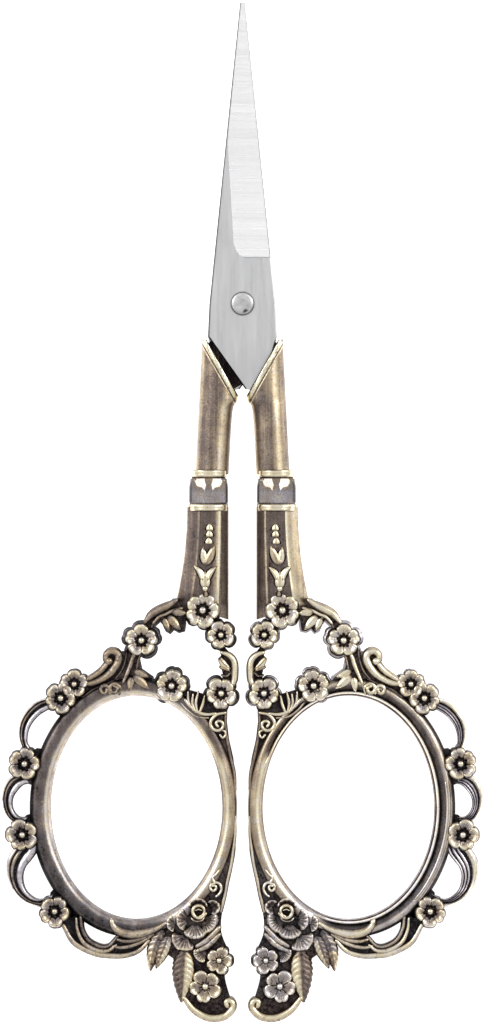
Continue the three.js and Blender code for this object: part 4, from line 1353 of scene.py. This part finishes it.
class SCISSORS_OT_openwork(bpy.types.Operator):
    """Vine, stems, scrolls and leaflets between the shanks and the finger loops"""

    bl_idname = "scissors.make_openwork"
    bl_label = "Openwork"

    def execute(self, context):
        plan = plan_of(context)
        casting = new_casting()
        self.webs(casting, plan)
        self.vine(casting)
        self.stem(casting)
        self.scrolls(casting, plan)

        # Painted shade on the front of the left handle: the outer ornament darker, its flanges and other low
        # parts much darker.
        def wear_and_shade(place):
            return max(0.42 * ease(5, 8, place.x), 0.7 * ease(0.9, 0.85, -place.z))

        def bare(place):
            return 0.9 - 0.82 * ease(0.9, 1.0, abs(place.z))

        paint_left_front_shade(casting, wear_and_shade)
        cast_pair("openwork", casting, [cast_finish()], 50, bare)
        return {"FINISHED"}

    def webs(self, casting, plan):
        hook = [(50, -1), (54, 1.3), (62, 1.5), (73, 1.8), (78, 2.8), (81, 3.4), (84, 2.5), (85, -1)]
        plate(casting, plan.by_band(hook), 1.0, 0.05)
        stem = [(104, -1), (100, 0.2), (93.5, 1.0), (91.2, 3.4), (86, 3.2), (83, 0.6), (74, -1)]
        plate(casting, plan.by_band(stem), 1.05, 0.18)
        flange(casting, plan.by_band(stem), 0.3, 0.8)
        inner = [(2.5, -42.8), (1.6, -43.8), (0.95, -44.9), (0.9, -46.6), (1.3, -48.0), (2.6, -48.4)]
        inner += [(2.5, -46.4), (2.8, -45.2), (2.7, -43.8)]
        plate(casting, flat(inner), 1.0, 0.03)
        foot = [(6.0, -37.3), (7.2, -37.1), (8.6, -37.2), (10.6, -38.6), (12.2, -40.1), (11.5, -40.8)]
        foot += [(10.4, -39.75), (9.85, -40.1), (9.45, -41.0), (9.1, -41.25), (8.6, -40.75), (7.9, -41.1)]
        foot += [(7.4, -41.0), (7.3, -40.2), (7.2, -39.5), (6.0, -39.2)]
        plate(casting, flat(foot), 1.05, 0.14)
        flange(casting, flat(foot), 0.25, 0.8)

    def leaflets(self, casting, rows):
        """Small folded leaves from rows of stalk, tip, width and top."""
        for row in rows:
            leaf(casting, *row, fold=0.2, rib=0.3)

    def vine(self, casting):
        trunk = [(8.3, -37.2), (9.3, -37.85), (10.4, -38.35), (11.4, -38.95), (12.25, -39.95)]
        under = [(7.6, -38.2), (8.7, -38.5), (9.6, -38.95), (10.5, -39.3), (11.2, -40.1)]
        tendril = [(9.6, -39.9), (10.0, -39.4), (10.55, -39.35), (11.0, -39.8), (11.4, -40.6)]
        strands(casting, [
            (trunk, [0.5, 1.1, 1.2, 1.05, 0.5], 2.0),
            (under, [0.4, 0.65, 0.55, 0.4], 1.75),
            (tendril, [0.3, 0.42, 0.42, 0.35], 1.6, (0.05, 0.5)),
        ])
        self.leaflets(casting, [
            ((8.8, -38.7), (6.95, -38.8), 0.95, 2.2),
            ((9.3, -39.2), (7.75, -40.85), 1.15, 2.2),
            ((9.85, -39.5), (9.15, -41.0), 0.9, 2.1),
        ])

    def stem(self, casting):
        trunk = [(13.35, -43.6), (13.75, -44.4), (14.1, -45.5), (14.55, -46.6), (15.0, -47.6)]
        left = [(12.8, -43.9), (13.1, -44.9), (13.3, -45.9)]
        end = [(14.3, -46.4), (14.85, -47.3), (15.2, -48.2), (15.45, -49.0)]
        right = [(14.5, -43.6), (14.75, -44.9), (15.2, -46.1), (16.0, -47.1)]
        strands(casting, [
            (trunk, [0.5, 0.7, 0.65, 0.4], 2.0),
            (left, [0.3, 0.4, 0.25], 1.6, (0.05, 0.6)),
            (end, [0.3, 0.45, 0.3], 1.85),
            (right, [0.3, 0.4, 0.3], 1.5, (0.05, 0.45)),
        ])
        self.leaflets(casting, [
            ((13.6, -46.05), (11.8, -46.85), 0.95, 2.2),
            ((13.65, -46.7), (11.65, -48.25), 1.15, 2.3),
            ((13.9, -46.9), (14.2, -48.65), 1.0, 2.3),
        ])

    def scrolls(self, casting, plan):
        hook = [(19.5, -47.65), (18.9, -47.6), (17.93, -47.25), (16.75, -46.5), (15.9, -45.45), (15.5, -44.4)]
        hook += [(15.8, -43.75), (16.45, -43.55), (17.05, -43.95), (17.15, -44.6)]
        strand(casting, flat(hook), [0.7, 0.85, 1.0, 1.1, 1.15, 1.15, 1.1, 1.0, 0.8], 2.2)
        beads(casting, (16.75, -44.85), 0.55, 2.25)
        back = [(17.05, -45.2), (17.55, -45.85), (18.2, -46.4), (19.1, -46.95), (19.7, -47.3)]
        low = plan.by_band([(81, 0.0), (74, -0.25), (67, -0.2), (60, -0.3)])
        edge = [(2.6, -43.75), (1.9, -43.95), (1.25, -44.5), (0.98, -45.2), (0.95, -46.2), (1.05, -47.3)]
        edge += [(1.5, -48.2)]
        strands(casting, [
            (back, [0.75, 0.9, 0.9, 0.8, 0.6], 2.05),
            (low, [0.25, 0.35, 0.35, 0.25], 1.7, (0.03, 0.4)),
            (curl(Vector((16.05, -48.3)), 0.72, 160, -430), [0.58, 0.58, 0.48], 2.3),
            (curl(Vector((17.3, -48.45)), 0.68, 200, -400), [0.58, 0.58, 0.48], 2.3),
            (edge, [0.5, 0.8, 0.9, 0.95, 0.9, 0.6], 2.1),
        ])
        leaf(casting, (2.95, -44.4), (1.45, -45.85), 0.85, 2.05, bend=0.12, fold=0.2, halves=(0.75, 1.0))
        leaf(casting, (2.9, -45.45), (1.5, -46.15), 0.75, 1.95, bend=-0.15, fold=0.2, halves=(1.0, 0.7))
        twig = [(1.5, -46.3), (2.0, -46.75), (2.6, -46.6)]
        strand(casting, flat(twig), [0.25, 0.4, 0.25], 1.6, (0.03, 0.5))


class SCISSORS_OT_straps(bpy.types.Operator):
    """Fluted straps that bow out between the blossoms on the outer side of the loops"""

    bl_idname = "scissors.make_straps"
    bl_label = "Straps"

    def execute(self, context):
        plan = plan_of(context)
        casting = new_casting()
        upper = [(50, 2.2), (43, 3.55), (35, 3.9), (28, 3.2), (22, 1.6)]
        opening = [(47.5, 1.0), (44.5, 1.5), (39, 2.15), (33, 2.35), (27.5, 1.9), (25.5, 1.2)]
        self.strap(casting, plan, upper, opening)
        middle = [(15, 1.8), (10, 3.2), (3.5, 3.55), (-3, 3), (-8, 1.6)]
        opening = [(10.5, 0.2), (9, 1.1), (4, 2.05), (-0.5, 2.05), (-3.8, 1.3), (-4, 0.2)]
        self.strap(casting, plan, middle, opening)
        lower = [(-14, 1.8), (-20, 3.8), (-28, 4.5), (-36, 4), (-44, 2.4)]
        opening = [(-16.5, -0.6), (-20.3, -0.1), (-22.6, 0.7), (-25, 1.8), (-28.6, 2.6), (-34, 2.9)]
        opening += [(-39.5, 2.1), (-41, 0.2)]
        self.strap(casting, plan, lower, opening)
        self.leaf_scroll(casting, plan)
        # Painted shade on the front of the left handle, over its lowest ornament.
        paint_left_front_shade(casting, lambda place: 0.25 * ease(-76, -78, place.y))

        def bare(place):
            return 0.95 - 0.75 * ease(1.4, 1.55, abs(place.z))

        cast_pair("straps", casting, [cast_finish()], 50, bare)
        return {"FINISHED"}

    def flutes(self, parts, floor):
        """A section of round flutes from parts of start, end, rise and tone."""
        section = [(0.0, 0.0, 0.1)]
        for start, end, rise, tone in parts:
            for i in range(7):
                angle = math.pi * i / 6
                share = mix(start, end, (1 - math.cos(angle)) / 2)
                bright = mix(0.03, tone, math.sin(angle) ** 0.6)
                section.append((share, floor + rise * math.sin(angle), bright))
        return section + [(1.0, 0.0, 0.1)]

    def strap(self, casting, plan, rim, opening):
        outer = even_line(smooth_line(plan.by_band([(turn, out - 0.03) for turn, out in rim]), 0.2), 46)
        inner = even_line(smooth_line(plan.by_band(opening), 0.2), 46)
        floor = 1.0
        fine = [(0.0, 0.36, 0.58, 1.0), (0.45, 0.62, 0.34, 0.9), (0.65, 0.82, 0.3, 0.9)]
        fine += [(0.85, 1.0, 0.26, 0.85)]
        broad = [(0.0, 0.2, 0.5, 0.8), (0.2, 0.42, 0.56, 0.6), (0.52, 1.0, 0.42, 0.85)]
        ribbon(casting, outer, inner, self.flutes(fine, floor), self.flutes(broad, floor))

    def leaf_scroll(self, casting, plan):
        web = [(-51, 1.0), (-58, 2.3), (-67, 2.7), (-79, 2.4), (-90, 1.8), (-97, 1.1), (-102, 0.2)]
        web += [(-102, -0.6), (-90, -0.8), (-81.5, -0.4), (-80, 0.9), (-76, 1.7), (-70.5, 1.8)]
        web += [(-65.5, 1.2), (-62.5, 0.3), (-60, -0.6), (-52, -0.6)]
        plate(casting, plan.by_band(web), 0.95, 0.03)
        rim = [(22.5, -77.9), (21.1, -80.15), (18.6, -81.45), (16.6, -81.75), (14.9, -81.75), (13.4, -81.35)]
        rim += [(12.5, -80.7), (11.8, -79.9)]
        arch = [(20.3, -76.9), (20.1, -78.4), (19.35, -79.8), (17.9, -80.6), (16.8, -80.55), (16.05, -79.8)]
        arch += [(15.6, -79.3)]
        lace = [(20.85, -77.1), (20.68, -78.6), (19.95, -80.1), (18.4, -81.05), (16.9, -81.15)]
        lace += [(15.9, -80.45)]
        second = [(16.2, -80.6), (15.2, -80.75), (13.8, -80.5), (12.4, -79.9), (11.2, -79.1)]
        third = [(15.6, -79.75), (14.6, -79.95), (13.2, -79.75), (11.8, -79.2), (10.6, -78.5)]
        gold = [(16.4, -77.4), (16.15, -78.1), (15.3, -78.75), (13.8, -79.05), (12.1, -78.8), (10.6, -78.25)]
        gold += [(9.75, -77.7)]
        strands(casting, [
            (rim, [0.55, 0.75, 0.8, 0.8, 0.7, 0.5], 1.7),
            (arch, [0.45, 0.55, 0.6, 0.6, 0.5, 0.4], 1.55, (0.03, 0.62)),
            (lace, [0.35, 0.5, 0.65, 0.75, 0.65, 0.4], 1.7, (0.03, 1.0)),
            (second, [0.45, 0.65, 0.6, 0.35], 1.65, (0.05, 0.8)),
            (third, [0.5, 0.7, 0.6, 0.35], 1.75, (0.05, 0.75)),
            (gold, [0.7, 1.1, 1.2, 1.1, 0.85, 0.5], 2.3),
        ])


class SCISSORS_OT_blossoms(bpy.types.Operator):
    """Open blossoms on the shanks' feet, the openwork and the finger loops"""

    bl_idname = "scissors.make_blossoms"
    bl_label = "Blossoms"

    def execute(self, context):
        plan = plan_of(context)
        casting = new_casting()
        heel = Vector((plan.shank_inset, plan.foot))

        def row(places, drop, **form):
            """Blossoms from rows of centre, share of the full diameter, turn and skirt."""
            top = plan.relief - drop
            for centre, share, turn, skirt in places:
                diameter = share * plan.blossom_diameter
                blossom(casting, centre, diameter, turn, top, plan.petals, skirt, **form)

        row([
            (heel + Vector((3.25, 0.95)), 1.2, 20, 0.2),
            (heel + Vector((0.97, -2.15)), 0.94, 50, 0.25),
            (plan.on_band(93.1, 4.7), 1.09, 0, 0.5),
            (plan.on_band(111.4, 0.1), 1.1, 10, 0.32),
            (plan.on_band(131.6, 3.2), 1.07, 40, 0.3),
        ], 0.02)
        row([
            (plan.on_band(60.3, 1.65), 0.94, 0, 0.15),
            (plan.on_band(51.4, 1.4), 1.05, 25, 0.15),
            (plan.on_band(18.4, 1.35), 1.08, 15, 0.12),
            (plan.on_band(-11.4, 1.2), 1.08, 55, 0.12),
            (plan.on_band(-47.7, 1.45), 1.04, 30, 0.15),
        ], 0.02, pit=0.75, mouth=0.43, body=0.64)
        corner = [(9, -0.6), (8, 0.5), (5, 1.2), (-5, 1.2), (-8, 0.5), (-9, -0.6)]
        for turn in (18.4, -11.4, -47.7):
            plate(casting, plan.by_band([(turn + step, out) for step, out in corner]), 0.95, 0.02)
        row([
            (plan.rose + Vector((-2.9, -4.85)), 0.94, 20, 0.15),
            (plan.rose + Vector((-1.15, -8.1)), 1.14, 45, 0.15),
        ], 0.1, pit=0.5, reach=0.27, mouth=0.26, body=0.6)
        skirt_top = 0.57 * plan.relief

        # Painted shade on the front of the left handle: the outer blossoms a little darker, their skirts much
        # darker.
        def wear_and_shade(place):
            outward = 0.06 * ease(7, 9, place.x) + 0.06 * ease(17, 21, place.x)
            return max(outward, 0.65 * ease(skirt_top, skirt_top - 0.1, -place.z))

        def bare(place):
            skirt = 1 - ease(skirt_top, skirt_top + 0.1, abs(place.z))
            below = ease(-79, -80, place.y)
            cupped = 0.4 * ease(plan.relief - 0.12, plan.relief - 0.24, abs(place.z)) * (1 - below)
            return max(0.02 + cupped, 0.9 * skirt, (0.6 if place.z > 0 else 0.15) * below)

        paint_left_front_shade(casting, wear_and_shade)
        cast_pair("blossoms", casting, [cast_finish()], 60, bare)
        return {"FINISHED"}


class SCISSORS_OT_rose_sprays(bpy.types.Operator):
    """A full rose with leaves over a scroll, at the inner foot of each loop"""

    bl_idname = "scissors.make_rose_sprays"
    bl_label = "Rose sprays"
    bud = Vector((-0.37, 1.36))

    def execute(self, context):
        plan = plan_of(context)
        casting = new_casting()
        rose = plan.rose
        self.web(casting, plan, rose)
        self.petals(casting, plan, rose)
        self.leaves(casting, rose)

        def bare(place):
            spot = place.xy - rose
            gold = max(ease(-9.2, -9.8, spot.y), ease(-3.4, -3.9, spot.y) * ease(0.2, 0.5, spot.x))
            gold = max(gold, math.exp(-(((spot - self.bud).length / 1.1) ** 4)))
            return (0.6 if place.z > 0 else 0.35) - 0.75 * gold

        cast_pair("rose_spray", casting, [cast_finish()], 50, bare)
        return {"FINISHED"}

    def web(self, casting, plan, rose):
        scroll = about(rose, [(1.5, -9.5), (0.3, -11.0), (-1.5, -11.98), (-3.35, -11.9), (-4.45, -11.05)])
        edge = plan.by_band([(188, -0.4), (198, 0.5), (212, 1.2)])
        edge += about(rose, [(-3.3, 1.2), (-3.2, -1.5), (-4.4, -4.8), (-3.6, -6.8), (-4.5, -10.3)])
        outline = smooth_line(edge, 0.5) + smooth_line(scroll[::-1], 0.5) + about(rose, [(2.9, -4.6)])
        outline += plan.by_band([(259, 1.5), (261, -1), (228, -1), (208, -1)])
        plate(casting, outline, 1.1, 0.08)
        ground = plan.by_band([(188, -0.4), (198, 0.45), (212, 1.1)])
        ground += about(rose, [(-3.2, 1.2), (-3.1, -1.5), (-2.6, -3.0), (0.2, -3.7), (2.6, -3.2)])
        ground += about(rose, [(3.5, -1.4)])
        ground += plan.by_band([(252, 0.3), (250, -1), (228, -1), (208, -1)])
        plate(casting, ground, 1.14, 0.12)
        tube = scroll + about(rose, [(-4.65, -10.3), (-4.2, -9.8), (-3.75, -10.1), (-3.9, -10.5)])
        strand(casting, tube, [0.6, 0.95, 1.05, 1.05, 0.95, 0.75], 2.1)

    def petals(self, casting, plan, rose):
        """Rows of petals: centre, radii, degrees, heights and hatch lines, from the outer ones to the bud."""
        depth = plan.casting_depth / 2
        bud = rose + self.bud
        for shift in (0.0, 0.9):
            strip = [(-2.85, -0.75 - shift), (-1.6, -2.1 - 0.9 * shift), (-0.15, -3.0 - 0.7 * shift)]
            strand(casting, about(rose, strip), [0.7, 1.0, 0.95, 0.6], 2.1 - 0.1 * shift, (0.03, 0.74))
        petals = [
            ((1.2, -1.7), (0.3, 2.1), (-125, 12), (1.8, 2.2), 8),
            ((2.6, -0.2), (0.15, 1.2), (-85, 70), (1.85, 2.3), 5),
            ((0.83, 0.24), (0.4, 1.75), (-64, 64), (1.9, 2.4), 6),
            ((-0.75, 0.42), (0.35, 2.05), (152, 272), (1.65, 2.3), 9),
            ((0.12, -0.08), (0.35, 2.15), (216, 326), (1.75, 2.45), 7),
            ((-2.05, 1.85), (0.12, 1.0), (40, 290), (1.75, 2.3), 5),
            ((-0.27, 1.62), (0.5, 1.42), (8, 172), (2.0, 2.45), 5),
            ((-0.2, 1.15), (0.6, 1.2), (205, 330), (2.2, 2.6), 0),
        ]
        for place, radii, degrees, heights, hatch in petals:
            shell(casting, rose + Vector(place), radii, degrees, heights, hatch, (0.06, 1.0), 0.12)
        strand(casting, curl(bud, 0.88, 200, 420, 0.25), [0.46, 0.52, 0.46, 0.36], depth - 0.03, (0.1, 1.0))
        plate(casting, curl(bud, 0.75, 0, 330, 0.0), depth - 0.75, 0.0)
        heart = about(bud, [(-0.32, 0.12), (0.05, 0.26), (0.4, 0.1)])
        strand(casting, heart, [0.16, 0.26, 0.16], depth - 0.2)

    def leaves(self, casting, rose):
        rows = [
            ((1.45, -3.7), (1.85, -10.1), (2.6, 2.3, 9, -0.1, 0.28), (1.0, 0.3)),
            ((4.2, -1.0), (5.75, -6.2), (1.8, 2.0, 7, 0.3, 0.4), (0.5, 0.66)),
            ((3.45, -1.8), (5.0, -5.85), (1.5, 2.3, 7, -0.05, 0.3), (0.95, 0.45)),
        ]
        for stalk, tip, (width, top, veins, bend, fold), halves in rows:
            leaf(casting, *about(rose, [stalk, tip]), width, top, veins, bend, fold, halves)
        shell(casting, rose + Vector((-1.35, -3.5)), (0.3, 1.9), (-85, 8), (1.6, 2.05), 9, (0.1, 1.0))


class SCISSORS_OT_stage(bpy.types.Operator):
    """Pale floor, soft lights, and the camera straight above"""

    bl_idname = "scissors.make_stage"
    bl_label = "Stage"

    def execute(self, context):
        scene = context.scene
        scene.view_settings.view_transform = "Standard"
        self.floor(scene)
        softbox_size = (0.24, 0.8)
        radiance = 3.4
        for name, x in (("left_softbox", -0.53), ("right_softbox", 0.53)):
            self.light(name, (x, 0.27, 0.53), softbox_size, radiance)
        studio_grey = (0.68, 0.68, 0.69, 1.0)
        world = bpy.data.worlds.new("studio")
        world.use_nodes = True
        world.node_tree.nodes["Background"].inputs["Color"].default_value = studio_grey
        scene.world = world
        self.camera(scene)
        return {"FINISHED"}

    def floor(self, scene):
        tint = scene.scissors_colours.floor
        bm = bmesh.new()
        half_size = 3.0
        bmesh.ops.create_grid(bm, x_segments=2, y_segments=2, size=half_size)
        material = bpy.data.materials.new("pale_floor")
        material.use_nodes = True
        shader = material.node_tree.nodes["Principled BSDF"]
        values = {"Base Color": tint, "Roughness": 0.9, "Emission Color": tint, "Emission Strength": 1.0}
        for label, value in values.items():
            shader.inputs[label].default_value = value
        finish_mesh("floor", bm, Matrix.Identity(4), [material])
        bm.free()

    def light(self, name, place, size, radiance):
        lamp = bpy.data.lights.new(name, "AREA")
        lamp.shape = "RECTANGLE"
        lamp.size, lamp.size_y = size
        lamp.energy = radiance * math.pi * size[0] * size[1]
        light = bpy.data.objects.new(name, lamp)
        light.location = place
        light.rotation_mode = "QUATERNION"
        light.rotation_quaternion = (Vector((0, 0, 0)) - Vector(place)).to_track_quat("-Z", "Y")
        light.visible_camera = False
        bpy.context.scene.collection.objects.link(light)

    def camera(self, scene):
        """The picture's height and middle fit the photo at the plane of the upper blade."""
        lens = bpy.data.cameras.new("camera")
        camera = bpy.data.objects.new("camera", lens)
        distance = 1.0
        plane = 0.0015
        picture_height = 0.12838
        picture_middle = 0.00003
        camera.location = (0.0, picture_middle, distance + PIVOT.z + plane)
        lens.lens = lens.sensor_width * distance / picture_height
        lens.clip_start, lens.clip_end = 0.05, 20.0
        scene.collection.objects.link(camera)
        scene.camera = camera


class SCISSORS_PT_panel(bpy.types.Panel):
    """Lists the pieces of the scissors"""

    bl_idname = "SCISSORS_PT_panel"
    bl_label = "Embroidery scissors"
    bl_space_type = "VIEW_3D"
    bl_region_type = "UI"
    bl_category = "Scissors"

    def draw(self, context):
        for maker in MAKERS:
            self.layout.operator(maker.bl_idname)
        for group in (context.scene.scissors_sizes, context.scene.scissors_colours):
            for name in type(group).__annotations__:
                self.layout.prop(group, name)


MAKERS = (
    SCISSORS_OT_blades,
    SCISSORS_OT_rivet,
    SCISSORS_OT_shanks,
    SCISSORS_OT_loops,
    SCISSORS_OT_openwork,
    SCISSORS_OT_straps,
    SCISSORS_OT_blossoms,
    SCISSORS_OT_rose_sprays,
    SCISSORS_OT_stage,
)
CLASSES = (ScissorsSizes, ScissorsColours, *MAKERS, SCISSORS_PT_panel)


def register():
    for item in CLASSES:
        bpy.utils.register_class(item)
    bpy.types.Scene.scissors_sizes = PointerProperty(type=ScissorsSizes)
    bpy.types.Scene.scissors_colours = PointerProperty(type=ScissorsColours)


def unregister():
    del bpy.types.Scene.scissors_colours
    del bpy.types.Scene.scissors_sizes
    for item in reversed(CLASSES):
        bpy.utils.unregister_class(item)


def main():
    register()
    bpy.ops.scissors.make_blades()
    bpy.ops.scissors.make_rivet()
    bpy.ops.scissors.make_shanks()
    bpy.ops.scissors.make_loops()
    bpy.ops.scissors.make_openwork()
    bpy.ops.scissors.make_straps()
    bpy.ops.scissors.make_blossoms()
    bpy.ops.scissors.make_rose_sprays()
    bpy.ops.scissors.make_stage()


if __name__ == "__main__":
    main()
